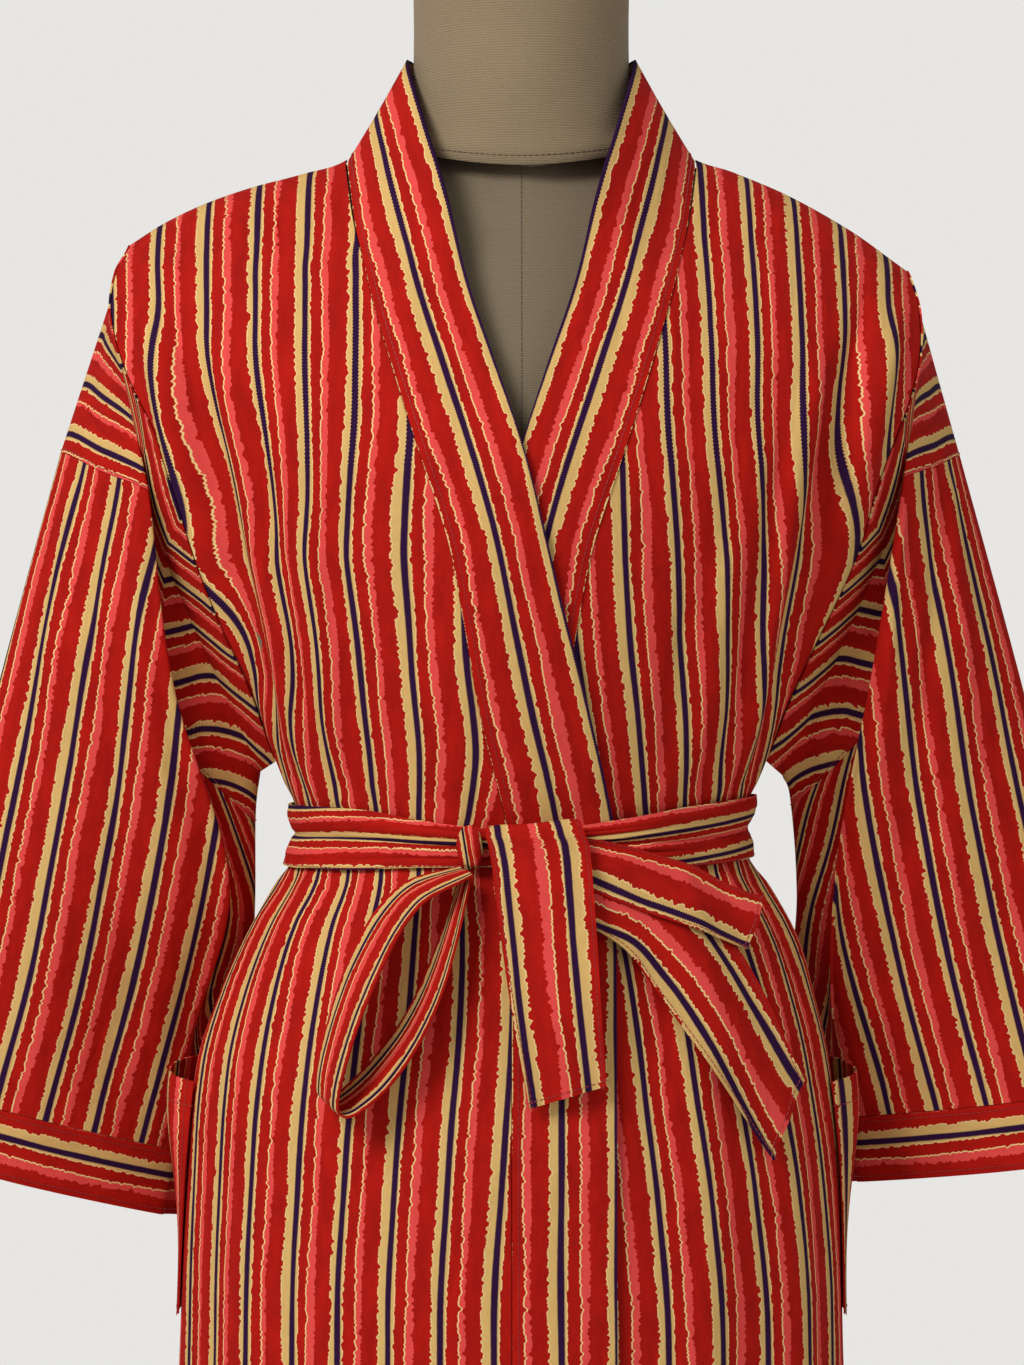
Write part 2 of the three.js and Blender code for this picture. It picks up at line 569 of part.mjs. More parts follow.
// A place along the armhole, on the edge of the body's panels and a seam's gap outside them
function armholePlace(side, share) {
  const front = share <= 5;
  const table = front ? armholeFront : armholeBack;
  const k = Math.min(Math.floor(front ? share : share - 5), table.length - 2);
  const v = mix(table[k], table[k + 1], (front ? share : share - 5) - k);
  const angle = side * (front ? quarterTurn : quarterTurn + 0.001);
  const next = Math.max(bodyRows.findIndex((row) => row >= v), 1);
  const low = robePoint(angle, bodyRows[next - 1], 0);
  const high = robePoint(angle, bodyRows[next], 0);
  const place = low.lerp(high, (v - bodyRows[next - 1]) / (bodyRows[next] - bodyRows[next - 1]));
  place.x += side * (seamGap + 0.3 + 0.9 * Math.abs(outward(angle, Math.min(v, 1400)).x));
  return place;
}

// A ring of a sleeve: the armhole's loop turns into the sleeve's own by the shoulder seam. Shift moves it
// along the sleeve, for the gap at a seam.
function sleeveRing(side, at, shift = 0) {
  const guide = sleeveGuide(side, Math.max(at, shoulderSeam));
  const curve = new THREE.CatmullRomCurve3(guide, true, 'centripetal');
  const ring = loopShares.map((share) => {
    const own = curve.getPoint(share / guide.length);
    return at >= shoulderSeam ? own : armholePlace(side, share).lerp(own, at / shoulderSeam);
  });
  if (!shift) return ring;
  const next = sleeveRing(side, at + 12);
  const before = at - 12 < 0 ? ring : sleeveRing(side, at - 12);
  const size = ring.length;
  return ring.map((p, k) => {
    const round = ring[(k + 1) % size].clone().sub(ring[(k + size - 1) % size]);
    const facing = round.clone().cross(next[k].clone().sub(before[k]));
    return p.clone().addScaledVector(facing.cross(round).normalize(), shift);
  });
}

function sleevePart(side, sections, thickness, before, after, gap) {
  const rings = sections.map((at, i) => {
    const first = before > 0 && i === before;
    const last = after > 0 && i === sections.length - 1 - after;
    const shift = first ? gap[0] : last ? -gap[gap.length - 1] : 0;
    return sleeveRing(side, at, shift);
  });
  return wall(rings, thickness, true, before, after);
}

// A pocket: a patch that stands off the side of the skirt at its mouth
function pocket(side) {
  return wall(steps(5, pocketBottom, pocketTop).map((z) => steps(8, 0, 1).map((t) => {
    const mouth = smooth((z - pocketBottom) / (pocketTop - pocketBottom)) ** 1.5;
    const out = pocketOut + pocketGape * mouth * Math.sin(Math.PI * t ** 0.7);
    const from = pocketFrom + 2.5 * (1 - mouth);
    return robePoint(side * mix(from, pocketTo, t), z - 8 * mouth * (1 - t), out);
  })), clothWall);
}

// The sash round the waist, over both fronts
function sashRound() {
  return wall(sashRows.map((up, i) => steps(48, -180, 180).slice(1).map((angle) => {
    const z = column(SASH_LEVEL, 'height', angle) + up * (1 - 0.24 * Math.exp(-((angle / 24) ** 2)));
    const x = bodySurface(angle, z).x;
    const crossing = Math.abs(angle) < quarterTurn ? wrapLift(x, z) * smooth((96 - x) / 40) : 0;
    return robePoint(angle, z, crossing + clothWall / 2 + sashClear + doubleWall / 2 + sashSwell[i]);
  })), doubleWall, true);
}

// A free end of the sash, lying over the skirt along its path, with its left edge longer by the slant
function sashEnd(path, count, slant) {
  const length = path[path.length - 1].z;
  return wall(steps(count, 0, length).map((along) => steps(3, -0.5, 0.5).map((t) => {
    const at = along * (1 - slant / 2 / length) - slant * t * smooth(along / length);
    const c = (key) => column(path, key, at);
    const turn = radians(c('turn'));
    const across = t * sashWidth * c('wide');
    return frontPoint(c('x') + across * Math.cos(turn), c('height') + across * Math.sin(turn),
      c('out') + Math.cos(t * 9));
  })), clothWall);
}

// The bow: an open loop of the sash that stands off the skirt, gathered where it leaves the knot
function bow() {
  const length = BOW[BOW.length - 1].z;
  return wall(steps(24, 0, length).map((along) => steps(2, -0.5, 0.5).map((t) => {
    const c = (key) => column(BOW, key, along);
    const lean = radians(c('lean'));
    const turn = radians(c('turn'));
    const wide = t * sashWidth * c('wide');
    const across = wide * Math.cos(lean);
    return frontPoint(c('x') + across * Math.cos(turn), c('height') + across * Math.sin(turn),
      c('out') + 5 + wide * Math.sin(lean) * 0.55);
  })), clothWall);
}

// The knot, a small wrapped barrel over the crossing of the sash
function knot() {
  const rings = steps(5, 0, 1).map((share) => steps(12, 0, fullTurn).slice(1).map((angle) => {
    const swell = 0.7 + 0.3 * Math.sin(Math.PI * share);
    const turn = radians(angle);
    const centre = frontPoint(mix(-30, -18.5, share), 1036, wrapHeight + 12.3);
    return centre.add(vector(0, Math.cos(turn) * 5 * swell, -Math.sin(turn) * 11.5 * swell));
  }));
  const middle = (ring) => ring.reduce((sum, p) => sum.add(p), vector()).divideScalar(ring.length);
  const { places, faces } = skin(rings, middle(rings[0]), middle(rings[rings.length - 1]));
  return solid(places, faces);
}

// Height of the dress form's shoulders
const formLine = (x) => Math.min(shoulderLine(x) - shoulderDrop, 1401.5 + (neckHalf - Math.abs(x)) * 0.34);

const formShares = [...steps(5, -quarterTurn, -formNeckAngle), ...steps(6, -formNeckAngle, formNeckAngle).slice(1),
  ...steps(5, formNeckAngle, quarterTurn).slice(1)];

// A ring of the dress form: its front from one arm plate to the other, then its back
function formRing(v) {
  const place = (angle, front) => {
    const across = Math.sin(radians(angle));
    const ridge = formLine(across * column(FORM, 'half', shoulderPointHeight));
    const z = rowHeight(v, ridge, formRound);
    const half = column(FORM, 'half', z);
    const x = across * half;
    const wide = mix(half, halfAt(z, x), smooth((z - 1090) / 60));
    const arm = column(BODY, 'arm', z);
    const crown = (1 - Math.min(Math.abs(x) / wide, 1) ** 2) ** column(BODY, 'square', z);
    const deep = column(BODY, front ? 'front' : 'back', z);
    const depth = (arm + (deep - arm) * crown) * (1 - column(FORM, 'inset', z) / deep) * closingAt(z, ridge, formRound);
    return vector(x, middleAt(z) + (front ? -depth : depth), z);
  };
  return [...formShares.map((a) => place(a, true)), ...[...formShares].reverse().map((a) => place(a, false))];
}

// A ring of the dress form's neck, from its right side over the front to its left side and back
function neckRing(level) {
  const place = (angle, reach) => vector(Math.sin(radians(angle)) * level.half,
    shoulderBack * 0.9 + Math.cos(radians(angle)) * reach,
    level.height - level.dip * Math.cos(radians(angle)) ** 2);
  const angles = steps(6, -quarterTurn, quarterTurn);
  return [...angles.map((a) => place(a, -level.front)), ...angles.reverse().map((a) => place(a, level.back))];
}

function dressForm() {
  const heights = [formBottom, 840, 900, 950, 990, 1020, 1044, 1070, 1100, 1140, 1185, chestHeight];
  const low = heights.map((v) => formRing(v));
  const high = [0.2, 0.4, 0.6, 0.8].map((share) => formRing(chestHeight + shoulderRun * share));
  const necks = NECK.map((level) => neckRing(level));
  const shoulder = formRing(chestHeight + shoulderRun);
  const half = formShares.length;
  const base = shoulder.map((p, k) => {
    const slot = (k < half ? k : 2 * half - 1 - k) - 5;
    return slot < 0 || slot > 6 ? p : necks[0][k < half ? slot : 13 - slot];
  });
  const torso = skin([...low, ...high, base], vector(0, 0, formBottom));
  const neck = skin(necks, undefined, vector(0, 0, NECK[NECK.length - 1].height));
  return solid([...torso.places, ...neck.places],
    [...torso.faces, ...neck.faces.map((k) => k + torso.places.length)]);
}

function turned(profile, segments) {
  const geometry = new THREE.LatheGeometry(profile.map(([r, z]) => new THREE.Vector2(r, z)), segments);
  geometry.rotateX(Math.PI / 2);
  const places = Array.from({ length: geometry.attributes.position.count }, (_, i) => (
    vector().fromBufferAttribute(geometry.attributes.position, i)));
  return solid(places, Array.from(geometry.index.array));
}

const standBase = () => turned([[0, 0], [baseRadius, 0], [baseRadius + 3, 5], [baseRadius - 4, baseHeight - 2],
  [bossRadius + 14, baseHeight + 4], [bossRadius, baseHeight + 12], [bossRadius - 6, bossHeight],
  [poleRadius + 0.4, bossHeight], [poleRadius + 0.4, baseHeight - 4], [0, baseHeight - 4]], 32);

const standPole = () => turned([[0, baseHeight - 3.6], [poleRadius, baseHeight - 3.6],
  [poleRadius, formBottom - seamGap], [0, formBottom - seamGap]], 20);

const cotton = { color: 0xb0200f, roughness: 0.85, metalness: 0 };
const jersey = { color: 0x8a7a62, roughness: 0.9, metalness: 0 };
const steel = { color: 0x26262a, roughness: 0.45, metalness: 0.7 };

const robe = new THREE.Group();

function add(name, geometry, finish) {
  const mesh = new THREE.Mesh(geometry, new THREE.MeshStandardMaterial(finish));
  mesh.name = name;
  robe.add(mesh);
}

const sides = { right: -1, left: 1 };
const [beforeSeam, afterSeam, beforeCuff, afterCuff] = [shoulderSeam - 12, shoulderSeam + 12,
  cuffSeam - 12, cuffSeam + 12];

add('stand_base', standBase(), steel);
add('stand_pole', standPole(), steel);
add('dress_form', dressForm(), jersey);
add('back', backPanel(), cotton);
add('sash_round', sashRound(), cotton);
add('sash_knot', knot(), cotton);
add('sash_bow', bow(), cotton);
add('sash_end_centre', sashEnd(CENTRE_END, 12, 17), cotton);
add('sash_end_long', sashEnd(LONG_END, 12, 26), cotton);
add('sash_end_short', sashEnd(SHORT_END, 6, 4), cotton);
add('band_back', backBand(), cotton);
for (const [name, side] of Object.entries(sides)) {
  add(`front_${name}`, frontPanel(side), cotton);
  add(`band_${name}`, band(side), cotton);
  add(`sleeve_top_${name}`, sleevePart(side, [...steps(4, 0, beforeSeam), shoulderSeam, afterSeam],
    clothWall, 0, 1, [sleeveGap]), cotton);
  add(`sleeve_${name}`, sleevePart(side, [beforeSeam, shoulderSeam, ...steps(6, afterSeam, beforeCuff), cuffSeam, afterCuff], clothWall, 1, 1, [sleeveGap, seamGap / 2]), cotton);
  add(`cuff_${name}`, sleevePart(side, [beforeCuff, cuffSeam, afterCuff, sleeveEnd],
    doubleWall, 1, 0, [seamGap / 2]), cotton);
  add(`pocket_${name}`, pocket(side), cotton);
}

export default robe;
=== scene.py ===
# %% [markdown]
# # A striped cotton kimono robe on a dress form
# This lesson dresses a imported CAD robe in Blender. The CAD part holds every piece at its real size and
# place. Here each piece becomes a finely modelled shell of cloth with a hand-printed stripe, seams and
# stitches. Lengths are millimetres until a mesh is made, and metres in Blender.

import math

import bmesh
import bpy
import numpy as np
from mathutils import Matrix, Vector


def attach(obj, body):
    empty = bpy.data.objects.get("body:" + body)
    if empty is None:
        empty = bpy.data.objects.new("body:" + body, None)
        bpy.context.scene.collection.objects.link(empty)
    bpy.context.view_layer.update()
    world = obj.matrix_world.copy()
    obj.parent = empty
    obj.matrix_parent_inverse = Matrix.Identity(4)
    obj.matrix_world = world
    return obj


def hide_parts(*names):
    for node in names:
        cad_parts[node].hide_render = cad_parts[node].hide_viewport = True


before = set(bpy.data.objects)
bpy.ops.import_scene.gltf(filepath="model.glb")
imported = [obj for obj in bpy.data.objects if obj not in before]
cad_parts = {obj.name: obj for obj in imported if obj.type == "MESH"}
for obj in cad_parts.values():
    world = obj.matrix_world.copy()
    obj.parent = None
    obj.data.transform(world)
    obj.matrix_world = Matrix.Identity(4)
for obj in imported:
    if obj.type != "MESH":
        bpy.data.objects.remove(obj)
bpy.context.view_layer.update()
MM = 0.001

# %% [markdown]
# ## Camera
# The photograph looks straight at the robe from about the height of its chest, far enough away that the
# sleeves hardly turn. A long lens at 2.2 m gives that view. The lens follows from the width of robe that
# the picture takes in, which is 553 mm at the scale that was estimated from the form's neck.

# %% Camera
view_width = 553.0
view_centre = (-5.0, 1124.0)
camera_distance = 2200.0
sensor_width = 36.0

camera_data = bpy.data.cameras.new("camera")
camera_data.sensor_fit = "HORIZONTAL"
camera_data.sensor_width = sensor_width
camera_data.lens = sensor_width * camera_distance / view_width
camera = bpy.data.objects.new("camera", camera_data)
camera.location = (view_centre[0] * MM, -camera_distance * MM, view_centre[1] * MM)
camera.rotation_euler = (math.radians(90), 0, 0)
bpy.context.scene.collection.objects.link(camera)
bpy.context.scene.camera = camera
bpy.context.scene.view_settings.view_transform = "Standard"
print("lens in mm:", round(camera_data.lens, 1))

# %% [markdown]
# ## Working with tables
# A garment changes smoothly from one height to the next, so each shape is a short table of sizes that a
# person can read. `table` names its columns and `column` draws a smooth curve through one of them. They
# work on whole arrays, so a panel of many thousand points is worked out at once.

# %% Tables and curves
def table(names, *rows):
    """A table of sizes as arrays, by the names of its columns."""
    values = np.array(rows, dtype=float)
    return {name: values[:, k] for k, name in enumerate(names.split())}


def smooth(value):
    """A soft step from 0 to 1."""
    t = np.clip(value, 0.0, 1.0)
    return t * t * (3 - 2 * t)


def mix(a, b, t):
    return a + (b - a) * t


def column(rows, key, at):
    """A smooth curve through one column of a table, read at values of its first column, z."""
    z, y = rows["z"], rows[key]
    last = len(z) - 1
    at = np.clip(np.asarray(at, dtype=float), z[0], z[-1])
    i = np.clip(np.searchsorted(z, at, side="left") - 1, 0, last - 1)

    def slope(k):
        low, high = np.maximum(k - 1, 0), np.minimum(k + 1, last)
        return (y[high] - y[low]) / (z[high] - z[low])

    span = z[i + 1] - z[i]
    t = (at - z[i]) / span
    t2, t3 = t * t, t * t * t
    ends = (2 * t3 - 3 * t2 + 1) * y[i] + (3 * t2 - 2 * t3) * y[i + 1]
    return ends + span * ((t3 - 2 * t2 + t) * slope(i) + (t3 - t2) * slope(i + 1))


def places(*parts):
    """Joins x, y and z arrays into places."""
    return np.stack(np.broadcast_arrays(*parts), axis=-1).astype(float)


def unit(vectors):
    return vectors / np.maximum(np.linalg.norm(vectors, axis=-1, keepdims=True), 1e-9)


# %% [markdown]
# ## The body of the robe
# Under its folds the robe is one smooth form. These are the same sizes as the CAD part's, so every shell
# lies on its own solid. Half widths run to the wearer's right and left, depths to the front and back.

# %% Sizes of the body
BODY = table(
    "z half left front back arm square",
    (160, 203, 192, 148, 156, 0, 0.5),
    (450, 192, 182, 136, 144, 0, 0.5),
    (755, 182, 171, 124, 132, 0, 0.48),
    (866, 178, 169, 120, 128, 0, 0.47),
    (921, 173, 164, 115, 123, 0, 0.47),
    (957, 161, 156, 109, 114, 0, 0.48),
    (985, 148, 148, 103, 104, 0, 0.49),
    (1012, 133, 134, 97, 93, 0, 0.5),
    (1030, 122, 122, 91, 84, 0, 0.5),
    (1044, 118.5, 118, 89, 82, 0, 0.5),
    (1058, 121.5, 121, 92, 84, 0, 0.5),
    (1080, 130, 130, 100, 90, 0, 0.5),
    (1110, 141, 141, 110, 95, 22, 0.62),
    (1145, 151, 152.5, 119, 99, 40, 0.76),
    (1190, 165, 169.5, 127, 102, 50, 0.88),
    (1235, 180, 189, 129, 104, 54, 0.94),
    (1285, 207, 208, 120, 103, 52, 0.92),
    (1320, 218, 212, 111, 98, 44, 0.9),
    (1345, 217, 208, 104, 93, 34, 0.9),
    (1361, 211, 204, 100, 91, 24, 0.9),
    (1412, 211, 204, 92, 90, 12, 0.9),
)
SHOULDER_LINE = table(
    "z height left",
    (0, 1482, 1482),
    (40, 1468, 1468),
    (66, 1434, 1434),
    (92, 1406, 1405.5),
    (119, 1397.5, 1397),
    (146, 1391, 1387.5),
    (173, 1382, 1374.5),
    (195, 1371.5, 1361),
    (211, 1361, 1347),
)
FRONT_EDGE = table(
    "z seam free",
    (160, -5, 47.5),
    (1010, -5, 47.5),
    (1047, -6.5, 46.8),
    (1110, -21, 33.8),
    (1157, -29, 22),
    (1193, -36, 13.5),
    (1237, -50.5, 2.6),
    (1285, -66, -12.5),
    (1330, -79.4, -27.3),
    (1377, -88.5, -38.2),
)
NECK_BAND = table(
    "z seamX seamY seamZ freeX freeY freeZ",
    (0, 80, -67, 1332, 31.5, -97, 1349),
    (24, 86, -51, 1358, 41, -72, 1386),
    (46, 90.5, -27, 1387, 51.5, -46, 1421),
    (68, 92.5, 5, 1406.5, 60.8, -6, 1456),
    (104, 80, 44, 1408, 56.5, 34, 1463),
    (140, 50, 68, 1407, 35, 57, 1465),
    (192, 0, 77, 1406, 0, 66, 1467),
)
HEM, CHEST, UNDERARM, WAIST = 160, 1235, 1082, 1044
SHOULDER_POINT, SHOULDER_RUN, SHOULDER_ROUND, SHOULDER_BACK = 1361, 170, 2.2, 8
HALF_RIGHT, HALF_LEFT = 211, 204
SEAM_GAP, WRAP_HEIGHT = 0.4, 4.2
NECK_START, NECK_CORNER, NECK_LENGTH, NECK_HALF = 1332, 68, 192, 92
print("the robe is", SHOULDER_POINT - HEM, "mm from the shoulder point to the hem")

# %% [markdown]
# ## Folds
# Thin cotton hangs in soft folds: long ones in the skirt, a set that runs from the shoulder to the side of
# the waist where the sleeve pulls, and short tucks where the sash gathers it. Each is placed one by one and
# stands out from the form as a soft ridge or trough, so that everything sewn on the panel follows it.

# %% Folds of the skirt, the arms and the waist
SKIRT_FOLDS = table(
    "at wide waist hem",
    (-78, 9, 1, 8),
    (-52, 8, 2.5, 9),
    (-31, 6, 2, 4),
    (34, 6, 2.5, 6),
    (57, 8, 2, 9),
    (80, 9, 1, 7),
    (112, 9, 2, 9),
    (137, 8, 3, 8),
    (161, 8, 3, 10),
    (185, 7, 2.5, 7),
    (208, 8, 3, 10),
    (234, 9, 2, 8),
    (257, 8, 1, 9),
)
ARM_FOLDS = table(
    "fromX fromZ toX toZ wide high",
    (192, 1312, 148, 1122, 9, 6),
    (174, 1306, 133, 1106, 7, -5),
    (158, 1296, 120, 1090, 10, 4),
    (126, 1262, 102, 1086, 11, 3),
)
# Finer creases beside them, on the front: the same columns with the side, -1 right and 1 left
CREASES = table(
    "fromX fromZ toX toZ wide high side",
    (203, 1330, 160, 1150, 5, 2.2, -1),
    (185, 1322, 141, 1118, 5, -2.6, -1),
    (166, 1300, 127, 1096, 5, -2.2, -1),
    (150, 1290, 112, 1078, 5, 2.0, -1),
    (138, 1262, 108, 1084, 5, -1.6, -1),
    (112, 1215, 92, 1076, 6, 1.6, -1),
    (100, 1180, 84, 1072, 6, -1.5, -1),
    (198, 1318, 166, 1160, 5, 2.2, 1),
    (182, 1330, 148, 1128, 5, -2.6, 1),
    (165, 1296, 124, 1090, 5, -2.0, 1),
    (147, 1276, 116, 1076, 5, 2.0, 1),
    (132, 1240, 104, 1078, 5, -1.6, 1),
    (108, 1200, 90, 1072, 6, 1.6, 1),
    (84, 1160, 76, 1074, 6, -1.4, 1),
)
# Short tucks at the sash, as places round the body in degrees, and their reach up and down
TUCKS = table(
    "at wide high up down",
    (-84, 3.6, 1.5, 60, 80),
    (-71, 3.2, -1.2, 90, 120),
    (-61, 3.0, 1.6, 70, 150),
    (-49, 3.4, -1.2, 110, 90),
    (-38, 3.0, 1.3, 60, 170),
    (-27, 3.2, -1.0, 90, 110),
    (-15, 3.0, 1.0, 50, 140),
    (14, 3.0, 0.9, 40, 130),
    (25, 3.2, -1.1, 60, 160),
    (37, 3.0, 1.4, 80, 110),
    (47, 3.2, -1.3, 70, 180),
    (58, 3.0, 1.5, 100, 120),
    (69, 3.4, -1.2, 60, 150),
    (82, 3.4, 1.4, 80, 90),
    (102, 4.0, 1.8, 90, 150),
    (121, 4.0, -1.6, 70, 190),
    (139, 4.2, 1.9, 110, 140),
    (157, 4.0, -1.5, 60, 200),
    (172, 4.2, 1.7, 120, 150),
    (194, 4.0, -1.5, 80, 180),
    (211, 4.2, 1.8, 70, 140),
    (228, 4.0, -1.6, 110, 190),
    (243, 4.2, 1.7, 80, 150),
    (259, 4.0, -1.4, 60, 120),
)
SASH_HALF, CREASE_DEPTH = 16, 1.35


def turn_off(angle, middle):
    """The signed turn from a middle to an angle, the short way round."""
    return (angle - middle + 540) % 360 - 180


def rows_of(rows):
    """One dictionary for each row of a table."""
    return [{name: rows[name][k] for name in rows} for k in range(len(next(iter(rows.values()))))]


def stroke(fold, x, z):
    """A soft stroke along a straight fold of the front, 1 on its middle line."""
    t = (fold["fromZ"] - z) / (fold["fromZ"] - fold["toZ"])
    off = (x - mix(fold["fromX"], fold["toX"], t)) / fold["wide"]
    return smooth(t * 4 + 0.4) * smooth((1 - t) * 4 + 0.4) * np.exp(-off * off)


def folds(angle, x, z):
    """How far the cloth stands out from the form at an angle, a place x and a height z."""
    down = np.clip((WAIST - z) / (WAIST - HEM), 0, 1)
    below_sash = smooth((WAIST - 14 - z) / 50)
    front = np.abs(angle) <= 90
    high = np.zeros(np.broadcast(angle, x, z).shape)
    for fold in rows_of(SKIRT_FOLDS):
        off = turn_off(angle, fold["at"]) / fold["wide"]
        high = high + below_sash * mix(fold["waist"], fold["hem"], down) * np.exp(-off * off)
    for fold in rows_of(ARM_FOLDS):
        high = high + fold["high"] * stroke(fold, np.abs(x), z)
    for fold in rows_of(CREASES):
        high = high + CREASE_DEPTH * fold["high"] * stroke(fold, x * fold["side"], z) * front
    for tuck in rows_of(TUCKS):
        off = turn_off(angle, tuck["at"]) / tuck["wide"]
        above = smooth((z - WAIST - SASH_HALF) / 12) * smooth(1 - (z - WAIST - SASH_HALF) / tuck["up"])
        below = smooth((WAIST - SASH_HALF - z) / 12) * smooth(1 - (WAIST - SASH_HALF - z) / tuck["down"])
        high = high + tuck["high"] * (above + below) * np.exp(-off * off)
    return high


print(len(SKIRT_FOLDS["at"]), "skirt folds,", len(CREASES["wide"]), "creases and", len(TUCKS["at"]), "tucks")

# %% [markdown]
# ## The surface under the cloth
# A place on the body has an angle, 0 in front and 180 behind, and a row. Below the chest the row is the
# height; above it the row turns over the shoulder, because a shoulder is a rounded end and heights alone
# would leave a sharp edge there.

# %% Surface of the body
def half_at(z, x):
    return np.where(x > 0, column(BODY, "left", z), column(BODY, "half", z))


def shoulder_line(x):
    left = column(SHOULDER_LINE, "left", x * HALF_RIGHT / HALF_LEFT)
    return np.where(x > 0, left, column(SHOULDER_LINE, "height", -x))


def closing_at(z, ridge, roundness=SHOULDER_ROUND):
    rise = np.clip((z - CHEST) / (ridge - CHEST), 0, 1)
    return (1 - rise**roundness) ** (1 / roundness)


def middle_at(z):
    return SHOULDER_BACK * smooth((z - CHEST) / (SHOULDER_POINT - CHEST))


def row_height(v, ridge, roundness=SHOULDER_ROUND):
    turn = np.radians(90) * np.clip((v - CHEST) / SHOULDER_RUN, 0, 1)
    return np.where(v <= CHEST, v, CHEST + (ridge - CHEST) * np.sin(turn) ** (2 / roundness))


def row_at(z, ridge):
    rise = np.clip((z - CHEST) / (ridge - CHEST), 0, 1)
    turned = np.arcsin(rise ** (SHOULDER_ROUND / 2)) / (np.pi / 2)
    return np.where(z <= CHEST, z, CHEST + SHOULDER_RUN * turned)


def body_surface(angle, v):
    """Places on the smooth body."""
    across = np.sin(np.radians(angle))
    ridge = shoulder_line(across * np.where(across > 0, HALF_LEFT, HALF_RIGHT))
    z = row_height(v, ridge)
    x = across * half_at(z, across)
    front = np.abs(angle) <= 90
    arm = column(BODY, "arm", z)
    crown = np.maximum(1 - across * across, 0) ** column(BODY, "square", z)
    deep = np.where(front, column(BODY, "front", z), column(BODY, "back", z))
    depth = (arm + (deep - arm) * crown) * closing_at(z, ridge) + SEAM_GAP / 2
    return places(x, middle_at(z) + np.where(front, -depth, depth), z)


def outward(angle, v):
    """The way the cloth faces."""
    angle, v = np.broadcast_arrays(np.asarray(angle, float), np.asarray(v, float))
    front = np.abs(angle) <= 90
    low = np.where(front, -90, np.where(angle < 0, -180, 90)) + 0.01
    high = np.where(front, 90, np.where(angle < 0, -90, 180)) - 0.01
    a = body_surface(np.clip(angle - 0.7, low, high), v)
    b = body_surface(np.clip(angle + 0.7, low, high), v)
    c = body_surface(angle, v - 3)
    d = body_surface(angle, np.minimum(v + 3, CHEST + SHOULDER_RUN * 0.995))
    return unit(np.cross(b - a, d - c))


def robe_point(angle, v, out):
    """Places on the robe, that far outside the smooth body and its folds."""
    place = body_surface(angle, v)
    rise = out + folds(angle, place[..., 0], place[..., 2])
    return place + outward(angle, v) * rise[..., None]


def front_point(x, z, out):
    """The same on the front, at x and a height z."""
    x, z = np.broadcast_arrays(np.asarray(x, float), np.asarray(z, float))
    v = row_at(z, shoulder_line(x))
    share = np.clip(x / half_at(z, x), -1, 1)
    return robe_point(np.degrees(np.arcsin(share)), np.minimum(v, CHEST + SHOULDER_RUN * 0.999), out)


def wrap_lift(x, z):
    """The outer front rises where it crosses the inner one."""
    inner_edge = -column(FRONT_EDGE, "free", z)
    return WRAP_HEIGHT * smooth((x - inner_edge + 36) / 32) * smooth((1330 - z) / 70)


def side_seam(z):
    """The angle of the side seam, which swings back below the waist."""
    return 90 + 34 * smooth((UNDERARM - 4 - z) / 130)


def across_length(angle, v):
    """Cloth measured round the body from the centre front, along each row of angles."""
    fine = np.linspace(-180, 180, 721)
    out = np.empty(np.broadcast(angle, v).shape)
    for i in range(out.shape[0]):
        line = body_surface(fine, np.full_like(fine, v[i, 0]))
        length = np.concatenate([[0], np.cumsum(np.linalg.norm(np.diff(line, axis=0), axis=1))])
        length -= np.interp(0, fine, length)
        out[i] = np.interp(angle[i], fine, length)
    return out


print("waist", round(float(half_at(WAIST, 1) + half_at(WAIST, -1))), "mm wide")

# %% [markdown]
# ## Turning a sheet of places into cloth
# Every panel is a grid of places. `cloth` gives it a thin wall, as real cotton has, closes its edges and
# stores where each place lies on the printed cloth. That is the UV map named cloth: u runs across the
# stripes and v along them. The map belongs to the corners of the faces, so a sleeve can be closed into a
# tube and its stripes still meet at the seam.

# %% The cloth maker
COTTON_WALL = 1.0
DOUBLE_WALL = 2.0
COLLECTION = bpy.context.scene.collection
garment = {}


def grid_normals(grid, closed):
    """The way each place of a grid faces, from its neighbours."""
    if closed:
        along = np.roll(grid, -1, axis=1) - np.roll(grid, 1, axis=1)
    else:
        along = np.gradient(grid, axis=1)
    return unit(np.cross(along, np.gradient(grid, axis=0)))


def mesh_piece(name, points, faces, corner_uv=None):
    """A smooth-shaded object from places in millimetres and faces of four corners."""
    corners = points[faces]
    fan = np.einsum("ij,ij->i", corners[:, 0], np.cross(corners[:, 1], corners[:, 2]))
    fan += np.einsum("ij,ij->i", corners[:, 0], np.cross(corners[:, 2], corners[:, 3]))
    if fan.sum() < 0:
        faces = faces[:, ::-1]
        corner_uv = None if corner_uv is None else corner_uv[:, ::-1]
    count = len(faces)
    mesh = bpy.data.meshes.new(name)
    mesh.vertices.add(len(points))
    mesh.vertices.foreach_set("co", (points * MM).astype(np.float32).ravel())
    mesh.loops.add(count * 4)
    mesh.loops.foreach_set("vertex_index", faces.astype(np.int32).ravel())
    mesh.polygons.add(count)
    mesh.polygons.foreach_set("loop_start", np.arange(0, count * 4, 4, dtype=np.int32))
    mesh.polygons.foreach_set("loop_total", np.full(count, 4, dtype=np.int32))
    mesh.polygons.foreach_set("use_smooth", np.ones(count, dtype=bool))
    if corner_uv is not None:
        layer = mesh.uv_layers.new(name="cloth")
        layer.data.foreach_set("uv", (corner_uv * MM).astype(np.float32).ravel())
    mesh.update(calc_edges=True)
    mesh.validate()
    mesh.set_sharp_from_angle(angle=math.radians(55))
    piece = bpy.data.objects.new(name, mesh)
    COLLECTION.objects.link(piece)
    return piece


seams = []


